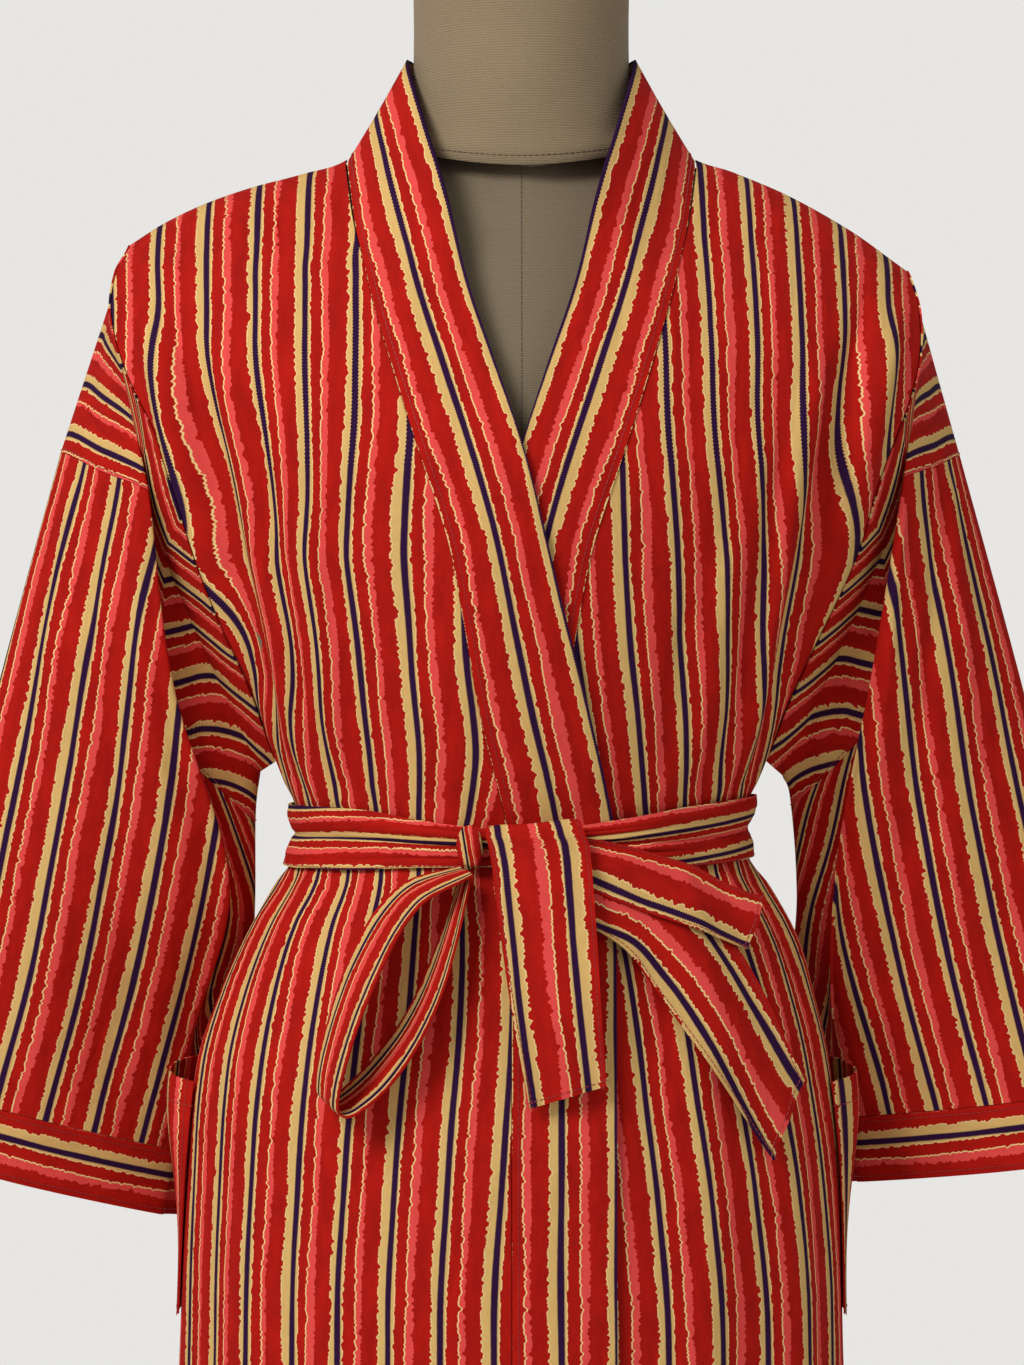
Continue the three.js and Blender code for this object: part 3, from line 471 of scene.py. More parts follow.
def stitched(kind, grid, pick, lift, closed=False, middle=None):
    """Notes a line of stitches: some row or column of a grid, lifted off its outer side."""
    normals = grid_normals(grid, closed)
    away = grid * [1, 1, 0] if middle is None else grid - middle
    normals *= math.copysign(1.0, (normals * away).sum())
    line = (grid + normals * lift)[pick]
    seams.append((kind, np.concatenate([line, line[:1]]) if closed else line))


def cloth(name, grid, pattern, wall=COTTON_WALL, closed=False):
    """A closed shell round a grid of places; pattern is each place on the printed cloth."""
    rows, columns = grid.shape[:2]
    normals = grid_normals(grid, closed)
    half_wall = normals * wall / 2
    points = np.concatenate([(grid + half_wall).reshape(-1, 3), (grid - half_wall).reshape(-1, 3)])
    inner = rows * columns
    across = columns if closed else columns - 1
    i, j = [part.ravel() for part in np.meshgrid(np.arange(rows - 1), np.arange(across), indexing="ij")]
    k = np.arange(across)
    last, zero = np.full_like(k, rows - 1), np.zeros_like(k)

    def corners(side, a, b):
        return side * inner + a * columns + b % columns

    def skin(side, a, b, c, d):
        index = np.stack([corners(side, *a), corners(side, *b), corners(side, *c), corners(side, *d)], axis=1)
        return index, np.stack([pattern[a], pattern[b], pattern[c], pattern[d]], axis=1)

    def rim(a, b):
        index = np.stack([corners(0, *b), corners(0, *a), corners(1, *a), corners(1, *b)], axis=1)
        return index, np.stack([pattern[b], pattern[a], pattern[a], pattern[b]], axis=1)

    parts = [
        skin(0, (i, j), (i, j + 1), (i + 1, j + 1), (i + 1, j)),
        skin(1, (i, j), (i + 1, j), (i + 1, j + 1), (i, j + 1)),
        rim((zero, k), (zero, k + 1)),
        rim((last, k + 1), (last, k)),
    ]
    if not closed:
        m = np.arange(rows - 1)
        edge, start = np.full_like(m, columns - 1), np.zeros_like(m)
        parts.append(rim((m + 1, start), (m, start)))
        parts.append(rim((m, edge), (m + 1, edge)))
    faces = np.concatenate([part[0] for part in parts])
    uv = np.concatenate([part[1] for part in parts])
    piece = mesh_piece(name, points, faces, uv)
    area = sum(polygon.area for polygon in piece.data.polygons) / 2
    print(f"{name}: {len(faces) * 2} triangles, {area:.3f} square metres of cloth")
    garment[name] = piece
    return piece


# %% [markdown]
# ## Where the stripes run
# The print repeats every 28 mm: a cream stripe, a thin violet line, a hair of cream, red, a coral line and
# red again. On the real robe the fronts are cut with the stripes upright, and the cloth is a little fuller
# than the form at the waist. So across a front the print is measured along the cloth and then let out by a
# factor that changes with height; the shift lets the stripes lean as they do where the panel is pulled. Both
# were set from where the violet lines lie on the fronts in the photograph; the back's are guessed.
# Above the chest the cloth hangs straight down, so there the print is measured straight across.

# %% Print on the body panels
PRINT = table(
    "z right rightShift left leftShift back backShift",
    (160, 1.0, 16, 0.95, -46, 1.0, 0),
    (792, 1.035, 14.5, 0.955, -44.5, 1.04, 0),
    (858, 1.03, 11, 0.985, -41.5, 1.06, 0),
    (904, 1.03, 8, 1.02, -38, 1.08, 0),
    (951, 1.05, 5, 1.08, -36, 1.12, 0),
    (997, 1.14, 6, 1.2, -34, 1.2, 0),
    (1021, 1.27, 11, 1.28, -32, 1.27, 0),
    (1044, 1.17, 6, 1.2, -26, 1.16, 2),
    (1060, 1.06, 0, 1.13, -19, 1.1, 4),
    (1092, 0.94, -6, 1.05, -10, 1.04, 6),
    (1138, 0.95, -1, 0.98, 0, 0.98, 6),
    (1185, 0.9, -1, 1.0, 3, 0.96, 6),
    (1208, 0.93, 0, 1.04, 2, 0.96, 6),
    (1254, 0.97, 0, 1.13, -1, 0.97, 6),
    (1304, 1.06, 7, 1.16, -2, 0.98, 6),
    (1356, 1.03, 4, 1.12, 4, 0.98, 6),
    (1420, 1.02, 4, 1.1, 7, 0.98, 6),
)


# How much more cloth lies in the folds beside the arm
PULLED = {"right": 38, "left": 16}


def body_print(angle, v, place, panel):
    """The place on the print: across the stripes from the middle of the body, and along them."""
    x, z = place[..., 0], place[..., 2]
    pulled = smooth((np.abs(x) - 84) / 74) * smooth((1310 - z) / 120) * smooth((z - 1050) / 80)
    length = mix(across_length(angle, v), place[..., 0], smooth((z - 1140) / 70))
    let_out = length * column(PRINT, panel, z) + np.sign(x) * PULLED[panel] * pulled
    return np.stack([let_out + column(PRINT, panel + "Shift", z),
                     np.broadcast_to(v, length.shape)], axis=-1)


def steps(count, start, end):
    return np.linspace(start, end, count + 1)


def body_rows(low, sash, high, shoulder):
    """Rows of a panel from the hem to the shoulder, closer together where the cloth is gathered."""
    return np.concatenate([
        steps(low, HEM, 880), steps(sash, 880, 1110)[1:], steps(high, 1110, CHEST)[1:],
        CHEST + SHOULDER_RUN * steps(shoulder, 0, 1)[1:] ** 0.9])


# %% [markdown]
# ## The neckband
# One long double band is sewn to both fronts and round the neck. It lies on the fronts, crosses the wrap
# and stands up round the neck, so below the chest its places come from the front and above it from a short
# table of its two edges. The CAD part splits it at the neck corners, and so does this.

# %% Places on the band
def band_place(side, along, t, out):
    """t goes from the band's seam to its free edge, along from the hem round to the centre back."""
    along, t = np.broadcast_arrays(np.asarray(along, float), np.asarray(t, float))
    on_body = np.minimum(along, NECK_START + 40)
    z = on_body + 17 * smooth((on_body - WAIST) / 120) * t
    x = -side * mix(column(FRONT_EDGE, "seam", on_body), column(FRONT_EDGE, "free", z), t)
    lift = wrap_lift(x, z) if side < 0 else 0
    on_front = front_point(x, z, out + lift)
    key = np.maximum(along - NECK_START, 0)
    part = {axis: mix(column(NECK_BAND, "seam" + axis, key), column(NECK_BAND, "free" + axis, key), t)
            for axis in "XYZ"}
    round_neck = places(side * part["X"], part["Y"], part["Z"])
    return mix(on_front, round_neck, smooth(key / 40)[..., None])


def along_where(low, high, value, rising):
    """Where along the band something rises through each value."""
    low, high = np.full_like(value, low), np.full_like(value, high)
    for _ in range(26):
        middle = (low + high) / 2
        under = rising(middle) < value
        low, high = np.where(under, middle, low), np.where(under, high, middle)
    return (low + high) / 2


# %% [markdown]
# ## Fronts and back
# A maker cuts two fronts and one back, and joins them at the shoulders and at side seams that swing back
# below the waist. Each front ends at the seam of the band.

# %% Front panels
HEM_ROW = 2
STITCH_LIFT = 0.62


def front_panel(side, name):
    v = body_rows(84, 64, 36, 52)
    corner = band_place(side, NECK_START + NECK_CORNER, 0, 0)
    z = row_height(v, corner[..., 2])
    curved = along_where(
        NECK_START - 20, NECK_START + NECK_CORNER, z, lambda a: band_place(side, a, 0, 0)[..., 2]
    )
    along = np.where(z < NECK_START - 12, z, curved)
    seam = band_place(side, along, 0, 0)
    seam[..., 0] += side * mix(SEAM_GAP, 1.7, smooth((along - NECK_START - 6) / 40))
    inner = np.degrees(np.arcsin(np.clip(side * seam[..., 0] / half_at(z, np.full_like(z, side)), -1, 1)))
    edge = side_seam(z) - np.where(z < UNDERARM, 0.09, 0)
    share = steps(112, 0, 1) ** 0.95
    angle = side * mix(edge[:, None], inner[:, None], share)
    rows = np.broadcast_to(v[:, None], angle.shape)
    flat = body_surface(angle, rows)
    lift = wrap_lift(flat[..., 0], flat[..., 2]) if side < 0 else 0
    grid = robe_point(angle, rows, lift)
    grid += (seam - grid[:, -1])[:, None, :] * (share**4)[None, :, None]
    pattern = body_print(angle, rows, flat, "right" if side < 0 else "left")
    stitched("robe", grid, np.s_[HEM_ROW], STITCH_LIFT)
    return cloth(name, grid, pattern)


# %% Back panel
NECK_SHARE = 0.289


def back_panel():
    v = body_rows(60, 48, 24, 40)
    share = np.concatenate([steps(56, -1, -NECK_SHARE), steps(64, -NECK_SHARE, NECK_SHARE)[1:],
                            steps(56, NECK_SHARE, 1)[1:]])
    turn = 180 - side_seam(v) - np.where(v < UNDERARM, 0.09, 0.001)
    offset = share * turn[:, None]
    angle = np.where(offset >= 0, 180 - offset, -180 - offset)
    rows = np.broadcast_to(v[:, None], angle.shape)
    grid = robe_point(angle, rows, 0)
    low = int(np.searchsorted(v, CHEST, side="right"))
    in_neck = np.abs(share) <= NECK_SHARE + 0.001
    width = np.abs(grid[low:, in_neck, 0])
    neck_angle, rise = angle[low:, in_neck], ((rows[low:, in_neck] - CHEST) / SHOULDER_RUN)
    along = along_where(NECK_START + NECK_CORNER, NECK_START + NECK_LENGTH, -width,
                        lambda a: -band_place(1, a, 0, 0)[..., 0])
    seam = band_place(1, along, 0, 0) + np.array([0, 0.6, -1.9])
    seam[..., 0] = np.abs(seam[..., 0]) * np.sign(grid[low:, in_neck, 0])
    top = robe_point(neck_angle, np.full_like(rise, CHEST + SHOULDER_RUN * 0.999), 0)
    lowered = robe_point(neck_angle, mix(CHEST, row_at(seam[..., 2], top[..., 2]), rise), 0)
    grid[low:, in_neck] = mix(lowered, seam, (rise**3)[..., None])
    flat = body_surface(angle, rows)
    round_back = across_length(np.where(angle < 0, angle + 360, angle) - 180, rows)
    pattern = np.stack([round_back * column(PRINT, "back", flat[..., 2])
                        + column(PRINT, "backShift", flat[..., 2]), rows], axis=-1)
    stitched("robe", grid, np.s_[HEM_ROW], STITCH_LIFT)
    return cloth("robe_back", grid, pattern)


front_panel(-1, "robe_front_right")
front_panel(1, "robe_front_left")
back_panel()


# %% Bands
BAND_PRINT_WIDTH = 52.5
BAND_PRINT_START = -24.6
BAND_OUT = 0.5


def band(side, name):
    along = np.concatenate([steps(70, HEM, 880), steps(60, 880, 1110)[1:], steps(60, 1110, NECK_START)[1:],
                            steps(36, NECK_START, NECK_START + NECK_CORNER - 0.3)[1:]])
    t = steps(16, 0, 1)
    grid = band_place(side, along[:, None], t, BAND_OUT)
    pattern = np.stack(np.broadcast_arrays(t * BAND_PRINT_WIDTH + BAND_PRINT_START, along[:, None]), axis=-1)
    stitched("robe", grid, np.s_[:, 1], DOUBLE_WALL / 2 + 0.12)
    return cloth(name, grid, pattern, DOUBLE_WALL)


def back_band():
    along = steps(34, NECK_START + NECK_CORNER + 0.3, NECK_START + NECK_LENGTH)
    t = steps(16, 0, 1)
    right = band_place(-1, along[:, None], t, BAND_OUT)
    left = band_place(1, along[:, None], t, BAND_OUT)[::-1]
    grid = np.concatenate([right, left[1:]])
    way = np.concatenate([along, 2 * along[-1] - along[::-1][1:]])
    stitched("robe", grid, np.s_[:, 1], DOUBLE_WALL / 2 + 0.12)
    pattern = np.stack(np.broadcast_arrays(t * BAND_PRINT_WIDTH + BAND_PRINT_START, way[:, None]), axis=-1)
    return cloth("robe_band_back", grid, pattern, DOUBLE_WALL)


band(-1, "robe_band_right")
band(1, "robe_band_left")
back_band()

# %% [markdown]
# ## Sleeves
# The kimono sleeve is wide and straight. A crosswise yoke piece joins it to the body, and a crosswise cuff
# ends it. Every section of it is a closed loop through eight guide places: the outer edge, the front with
# its big fold, the underarm and the back. The table gives those places from the shoulder to the cuff.

# %% Sleeve tables
SLEEVE_COLUMNS = "z outerX outerY outerZ foldX foldY foldZ innerX innerY innerZ over step swell"
RIGHT_SLEEVE = table(
    SLEEVE_COLUMNS,
    (122, 249, 4, 1247, 198, -44, 1226, 142, 12, 1076, 4, 14, 34),
    (225, 276, 6, 1148, 185, -38, 1122, 145, 18, 1052, 12, 17, 36),
    (325, 302, 12, 1051, 158, 2, 1014, 147, 40, 996, 7, 9, 34),
    (402, 322, 18, 976, 180, 40, 932, 154, 80, 924, 2, 3, 30),
    (474, 341, 22, 908, 192, 52, 866, 168, 84, 862, 0, 2, 28),
    (511, 350, 24, 872, 199, 53, 830, 176, 86, 826, 0, 2, 28),
)
LEFT_SLEEVE = table(
    SLEEVE_COLUMNS,
    (122, 237, 4, 1245, 203, -44, 1233, 142, 11, 1074, 3, 13, 34),
    (225, 264, 6, 1148, 187, -38, 1132, 147, 18, 1060, 12, 17, 36),
    (325, 290, 12, 1051, 171, 2, 1028, 152, 40, 1006, 7, 9, 34),
    (402, 311, 18, 975, 171, 42, 946, 152, 80, 938, 2, 3, 30),
    (474, 330, 22, 904, 184, 52, 884, 166, 84, 880, 0, 2, 28),
    (511, 338, 24, 867, 187, 53, 848, 169, 86, 844, 0, 2, 28),
)
SHOULDER_SEAM, CUFF_SEAM, SLEEVE_END = 122, 474, 511
ARMHOLE_FRONT = np.array([1405, 1330, 1290, 1255, 1170, UNDERARM], dtype=float)
ARMHOLE_BACK = np.array([UNDERARM, 1160, 1270, 1405], dtype=float)
GUIDES = 8
UNDERARM_GUIDE = 5
FINE_SECTIONS = 360
DROP_SEAM = table(
    "z at",
    (0, 122),
    (2.25, 122),
    (2.9, 185),
    (3.5, 236),
    (5.2, 236),
    (6.0, 170),
    (6.6, 122),
    (8, 122),
)


# %% Sleeve loops
def sleeve_guides(side, at):
    """The eight guide places of a sleeve at each section, as sections x guides x 3."""
    sections = RIGHT_SLEEVE if side < 0 else LEFT_SLEEVE
    c = {key: column(sections, key, at) for key in SLEEVE_COLUMNS.split()[1:]}
    outer = places(side * c["outerX"], c["outerY"], c["outerZ"])
    fold = places(side * c["foldX"], c["foldY"], c["foldZ"])
    inner = places(side * c["innerX"], c["innerY"], c["innerZ"])
    zero = np.zeros_like(c["over"])
    width = np.linalg.norm(outer - fold, axis=-1)
    front = mix(outer, fold, 0.5) + places(zero, -0.12 * width, zero)
    valley = fold + places(side * c["over"], c["step"], -0.6 * c["over"])
    under = mix(valley, inner, 0.5) + places(zero + side * 2, -0.4 * c["step"], zero)
    back_low = mix(inner, outer, 0.3) + places(zero, c["swell"], zero)
    back_high = mix(inner, outer, 0.72) + places(zero, c["swell"] * 0.85, zero)
    return np.stack([outer, front, fold, valley, under, inner, back_low, back_high], axis=-2)


def loop_curve(guides, share):
    """A centripetal closed curve through the guides, read at shares from 0 to 8."""
    k = np.floor(share).astype(int) % GUIDES
    t = (share - np.floor(share))[:, None]
    p0, p1, p2, p3 = [guides[..., (k + step) % GUIDES, :] for step in (-1, 0, 1, 2)]

    def spacing(a, b):
        return np.maximum(((b - a) ** 2).sum(-1, keepdims=True) ** 0.25, 1e-4)

    d0, d1, d2 = spacing(p0, p1), spacing(p1, p2), spacing(p2, p3)
    m1 = d1 * ((p1 - p0) / d0 - (p2 - p0) / (d0 + d1) + (p2 - p1) / d1)
    m2 = d1 * ((p2 - p1) / d1 - (p3 - p1) / (d1 + d2) + (p3 - p2) / d2)
    return (p1 + m1 * t + (3 * (p2 - p1) - 2 * m1 - m2) * t**2 + (2 * (p1 - p2) + m1 + m2) * t**3)


def armhole_place(side, share):
    """A place along the armhole, on the edge of the body's panels."""
    front = share <= UNDERARM_GUIDE
    v = np.where(front, np.interp(share, np.arange(6), ARMHOLE_FRONT),
                 np.interp(share - UNDERARM_GUIDE, np.arange(4), ARMHOLE_BACK))
    angle = side * np.where(front, 90.0, 90.001)
    place = robe_point(angle, v, 0)
    place[..., 0] += side * (SEAM_GAP + 0.3 + 0.9 * np.abs(outward(angle, np.minimum(v, 1400))[..., 0]))
    return place


def sleeve_loops(side, at, share):
    """Loops of the sleeve: the armhole's own loop turns into the sleeve's by the shoulder seam."""
    own = loop_curve(sleeve_guides(side, np.maximum(at, SHOULDER_SEAM)), share)
    body = armhole_place(side, share)[None]
    t = np.clip(at / SHOULDER_SEAM, 0, 1)[:, None, None]
    return mix(body, own, t)


def drop_seam(share):
    """Where the yoke ends: it reaches lower down under the arm, between the front fold and the underarm."""
    return np.interp(share, DROP_SEAM["z"], DROP_SEAM["at"])


def sleeve_grid(side, at, share):
    """Places of a sleeve whose sections may differ along the loop; at has rows and columns."""
    fine = steps(FINE_SECTIONS, 0, SLEEVE_END)
    loops = sleeve_loops(side, fine, share)
    row = np.clip(at / SLEEVE_END * FINE_SECTIONS, 0, FINE_SECTIONS - 0.001)
    low, columns = row.astype(int), np.arange(len(share))
    return mix(loops[low, columns], loops[low + 1, columns], (row - low)[..., None])


# %% [markdown]
# The cotton of a sleeve is never quite smooth: shallow waves run down it from the shoulder seam, deeper
# under the arm, and short creases cross the front fold. They are a few slow waves with their own directions,
# added along the way the cloth faces, and they fade at the seams so that the pieces still meet.

# %% Waves in the sleeves
SLEEVE_WAVES = table(
    "share at wide long high lean",
    (0.6, 190, 0.10, 120, 1.6, 0.0010),
    (1.1, 260, 0.12, 150, -1.8, 0.0014),
    (1.6, 200, 0.11, 130, 1.8, -0.0012),
    (1.75, 330, 0.13, 120, -2.0, 0.0010),
    (0.9, 380, 0.14, 110, 1.8, 0.0008),
    (1.4, 420, 0.12, 90, -1.5, 0.0012),
    (2.4, 240, 0.16, 120, 1.2, 0.0),
    (4.2, 230, 0.18, 110, 1.4, 0.0),
    (5.5, 300, 0.20, 140, 2.2, 0.0010),
    (6.1, 230, 0.18, 120, -2.4, 0.0012),
    (6.6, 350, 0.20, 150, 2.6, -0.0010),
    (7.2, 280, 0.16, 130, -2.0, 0.0010),
    (7.6, 400, 0.14, 110, 1.8, 0.0006),
)


WAVE_DEPTH = 1.5


def sleeve_waves(side, share, at):
    """How far the sleeve's cloth stands out at a share of its loop and a section."""
    high = np.zeros(np.broadcast(share, at).shape)
    shift = 0.0 if side < 0 else 0.13
    for wave in rows_of(SLEEVE_WAVES):
        off = (share - wave["share"] - shift - wave["lean"] * (at - wave["at"])) / wave["wide"]
        reach = smooth(1.3 - 1.3 * np.abs(at - wave["at"]) / wave["long"])
        high = high + WAVE_DEPTH * wave["high"] * np.exp(-off * off) * reach
    return high * smooth((at - SHOULDER_SEAM) / 24) * smooth((CUFF_SEAM - at) / 20)


def sleeve_piece(side, name, first, last, rows, cross, wall=COTTON_WALL):
    """One piece of a sleeve between two seams. Cross is the row its crosswise print starts from, or None."""
    share = (UNDERARM_GUIDE + steps(128, 0, GUIDES)[:-1]) % GUIDES
    begin, end = [
        np.broadcast_to(seam(share) if callable(seam) else seam, share.shape) for seam in (first, last)
    ]
    gap = SLEEVE_SEAM_HALF
    begin, end = begin + gap * (begin > 0), end - gap * (end < SLEEVE_END)
    at = mix(begin, end, steps(rows, 0, 1)[:, None])
    grid = sleeve_grid(side, at, share)
    normals = grid_normals(grid, True)
    ring = np.linalg.norm(np.diff(np.concatenate([grid, grid[:, :1]], axis=1), axis=1), axis=-1)
    length = np.concatenate([np.zeros((len(at), 1)), np.cumsum(ring, axis=1)], axis=1)
    outer_column = int(np.argmin(np.abs(share - GUIDES + 1e-6) % GUIDES))
    length -= length[:, outer_column:outer_column + 1]
    way = np.linalg.norm(np.diff(grid, axis=0), axis=-1)
    down = np.concatenate([np.zeros((1, len(share))), np.cumsum(way, axis=0)])
    outline = side * grid_facing(grid, normals)
    grid = grid + normals * (outline * sleeve_waves(side, share[None, :], at))[..., None]
    if cross is None:
        down = np.concatenate([down, down[:, :1]], axis=1)
        pattern = np.stack([-side * length - SLEEVE_PRINT_START[side], down], axis=-1)
    else:
        # Under the arm the yoke hangs in a fold, so its stripes climb towards the body
        climb = UNDERARM_CLIMB * smooth((share - 2.6) / 2.2) * smooth((7.2 - share) / 2) * (cross < 0)
        down = down - down[cross] + climb
        down = np.concatenate([down, down[:, :1]], axis=1)
        pattern = np.stack([down + CROSS_PRINT_START[name], length], axis=-1)
    lift, middle = wall / 2 + 0.12, grid.mean(axis=1, keepdims=True)
    for row in SLEEVE_STITCH_ROWS[name.split("_")[1]]:
        stitched("robe", grid, np.s_[row], lift, True, middle)
    return cloth(name, grid, pattern, wall, closed=True)


def grid_facing(grid, normals):
    """1 where the normals of a loop point away from its middle for the wearer's left, -1 for the right."""
    away = ((grid - grid.mean(axis=1, keepdims=True)) * normals).sum()
    return math.copysign(1.0, away) * math.copysign(1.0, grid[0, 0, 0])


SLEEVE_PRINT_START = {-1: 4.0, 1: 4.0}
CROSS_PRINT_START = {
    "robe_yoke_right": 10.5,
    "robe_yoke_left": 10.5,
    "robe_cuff_right": -14.5,
    "robe_cuff_left": -14.5,
}
SLEEVE_SEAM_HALF = 0.2
UNDERARM_CLIMB = 60
SLEEVE_STITCH_ROWS = {"yoke": (-2,), "sleeve": (), "cuff": (1, -2)}
CUFF_WALL = 1.8
for side, word in ((-1, "right"), (1, "left")):
    sleeve_piece(side, f"robe_yoke_{word}", 0, drop_seam, 60, -1)
    sleeve_piece(side, f"robe_sleeve_{word}", drop_seam, CUFF_SEAM, 110, None)
    sleeve_piece(side, f"robe_cuff_{word}", CUFF_SEAM, SLEEVE_END, 12, 0, CUFF_WALL)

# %% [markdown]
# ## Pockets
# A patch pocket sits on each side of the skirt. Its mouth gapes a little, because the hand has stretched it.

# %% Pockets
POCKET_TOP, POCKET_BOTTOM, POCKET_FROM, POCKET_TO = 919, 787, 77, 120
POCKET_GAPE, POCKET_OUT = 13, 2.4


def pocket_place(side, z, t):
    """t goes from the front edge of the pocket to its back edge."""
    mouth = smooth((z - POCKET_BOTTOM) / (POCKET_TOP - POCKET_BOTTOM)) ** 1.5
    out = POCKET_OUT + POCKET_GAPE * mouth * np.sin(np.pi * t**0.7)
    start = POCKET_FROM + 2.5 * (1 - mouth)
    return robe_point(side * mix(start, POCKET_TO, t), z - 8 * mouth * (1 - t), out)


def pocket(side, name):
    z, t = steps(40, POCKET_BOTTOM, POCKET_TOP)[:, None], steps(44, 0, 1)[None, :]
    grid = pocket_place(side, z, t)
    wide = np.concatenate([[0], np.cumsum(np.linalg.norm(np.diff(grid[0], axis=0), axis=1))])
    pattern = np.stack(np.broadcast_arrays(-side * wide[None, :] + 4, z), axis=-1)
    for line in (np.s_[:, 1], np.s_[:, -2], np.s_[1], np.s_[-5]):
        stitched("robe", grid, line, STITCH_LIFT)
    return cloth(name, grid, pattern)


for side, word in ((-1, "right"), (1, "left")):
    pocket(side, f"robe_pocket_{word}")

# %% [markdown]
# ## The sash
# The sash is a strip of the same cotton with its stripes lengthwise. Round the waist it is creased into
# soft pleats, so its cloth is wider than the strip that shows: the print is measured across the creases.

# %% Sash round the waist
SASH_WIDTH, SASH_CLEAR = 45, 1.3
SASH_PRINT_START, SASH_TWIST = 4, 7
SASH_WALL, SASH_STITCH_LIFT = 1.4, 0.82
# How wide the sash lies at the sides and back, how much narrower by the knot, and how far round that reaches
SASH_SPREAD, SASH_PINCH, PINCH_REACH = 1.22, 0.46, 30
SASH_ROWS = np.array([-14.5, -9, -3, 0, 4, 10, 14.5])
SASH_SWELL = np.array([0, 2.2, 1.6, 0.4, 1.8, 2.4, 0])
SASH_LEVEL = table(
    "z height",
    (-180, 1046),
    (-90, 1042),
    (-40, 1041.5),
    (0, 1038),
    (40, 1043),
    (90, 1047),
    (180, 1046),
)
SASH_CREASES = table(
    "up slope reach wide high",
    (-8.5, 0.030, 64, 1.2, -1.5),
    (-1.0, -0.020, 90, 1.4, -1.7),
    (5.5, 0.042, 74, 1.1, -1.3),
    (10.5, -0.030, 58, 1.1, -1.1),
    (2.0, 0.055, 55, 1.0, 1.2),
    (-5.0, -0.034, 50, 1.0, 1.1),
)


def sash_round():
    up = steps(44, SASH_ROWS[0], SASH_ROWS[-1])[:, None]
    angle = steps(300, -180, 180)[None, 1:]
    narrow = SASH_SPREAD - SASH_PINCH * np.exp(-((angle / PINCH_REACH) ** 2))
    z = column(SASH_LEVEL, "height", angle) + up * narrow
    x = body_surface(angle, z)[..., 0]
    crossing = np.where(np.abs(angle) < 90, wrap_lift(x, z) * smooth((96 - x) / 40), 0)
    curve = table("z swell", *zip(SASH_ROWS, SASH_SWELL))
    swell = column(curve, "swell", up) + 0 * angle
    for crease in rows_of(SASH_CREASES):
        off = (up - crease["up"] - crease["slope"] * angle) / crease["wide"]
        swell = swell + crease["high"] * np.exp(-off * off) * np.exp(-((angle / crease["reach"]) ** 2))
    swell = np.maximum(swell, -0.2)
    grid = robe_point(angle, z, crossing + 0.8 + SASH_CLEAR + DOUBLE_WALL / 2 + swell)
    tall = np.linalg.norm(np.diff(grid, axis=0), axis=-1)
    width = np.concatenate([np.zeros((1, tall.shape[1])), np.cumsum(tall, axis=0)])
    width = (width - width[-1:] / 2) * SASH_WIDTH / (SASH_ROWS[-1] - SASH_ROWS[0])
    way = np.cumsum(np.concatenate([[0], np.linalg.norm(np.diff(grid[22], axis=0), axis=1), [3]]))
    width = np.concatenate([width, width[:, :1]], axis=1)
    twist = SASH_TWIST * np.sin(np.radians(np.append(angle[0], 180.0))) ** 3
    pattern = np.stack([SASH_PRINT_START - width + twist, np.broadcast_to(way, width.shape)], axis=-1)
    stitched("robe", grid, np.s_[1], SASH_STITCH_LIFT, True, grid.mean(axis=1, keepdims=True))
    return cloth("robe_sash_round", grid, pattern, SASH_WALL, closed=True)


sash = sash_round()

# %% [markdown]
# The ends of the sash hang from the knot. Each end is a strip that follows a path over the skirt, measured
# out from it, and its cut edge is slanted. The bow is the same strip turned back on itself, so it stands on
# edge and its inside shows.

# %% Paths of the ends and the bow
CENTRE_END = table(
    "z x height out turn wide",
    (0, 3, 1046, 12, 4, 0.8),
    (11, 5, 1056, 16, 6, 0.95),
    (26, 6.5, 1047, 22, 2, 1),
    (71, 11, 1003, 24, -4, 1),
    (121, 16, 953, 21, -7, 0.95),
    (172, 23, 903, 14, -9, 0.86),
)
LONG_END = table(
    "z x height out turn wide",
    (0, 16, 1021, 12.6, 70, 0.7),
    (23, 37, 1012, 12.6, 78, 0.74),
    (50, 62, 1001, 12, 64, 0.95),
    (79, 82, 980, 10.5, 42, 1),
    (114, 101, 950, 9.5, 33, 0.94),
    (190, 137, 883, 9.5, 31, 0.62),
)
SHORT_END = table(
    "z x height out turn wide",
    (0, 18, 1034, 15.2, 66, 0.6),
    (20, 36, 1027, 15.2, 67, 0.64),
    (61, 74, 1011, 15, 66, 0.62),
    (106, 115, 992, 14.5, 66, 0.5),
)
BOW = table(
    "z x height out turn lean wide",
    (0, -26, 1021, 13, -40, 58, 0.42),
    (30, -52, 1007, 20, -32, 60, 0.85),
    (71, -71, 971, 25, -28, 61, 1),
    (114, -86, 931, 22, -26, 62, 1),
    (137, -91, 909, 18, -28, 62, 0.95),
    (143, -88, 905, 15, -30, 62, 0.9),
    (150, -82, 908, 13, -30, 62, 0.9),
    (168, -69, 921, 12, -30, 62, 0.9),
    (195, -53, 943, 13, -30, 64, 0.85),
    (226, -40, 971, 14, -28, 66, 0.75),
    (275, -27, 1018, 10, -24, 66, 0.4),
)
# Across a free end the cloth curls, and a slow ripple runs along it, growing from the knot
END_CURL, END_RIPPLE, END_RIPPLE_LENGTH, END_RIPPLE_START = 9, 0.8, 17, 60
# How far the bow stands off its path, how much of its lean turns outwards, and its ripple
BOW_CLEAR, BOW_TURN_OUT, BOW_RIPPLE, BOW_RIPPLE_ACROSS, BOW_RIPPLE_LENGTH = 5, 0.55, 0.7, 11, 30
BOW_PRINT_START = 12


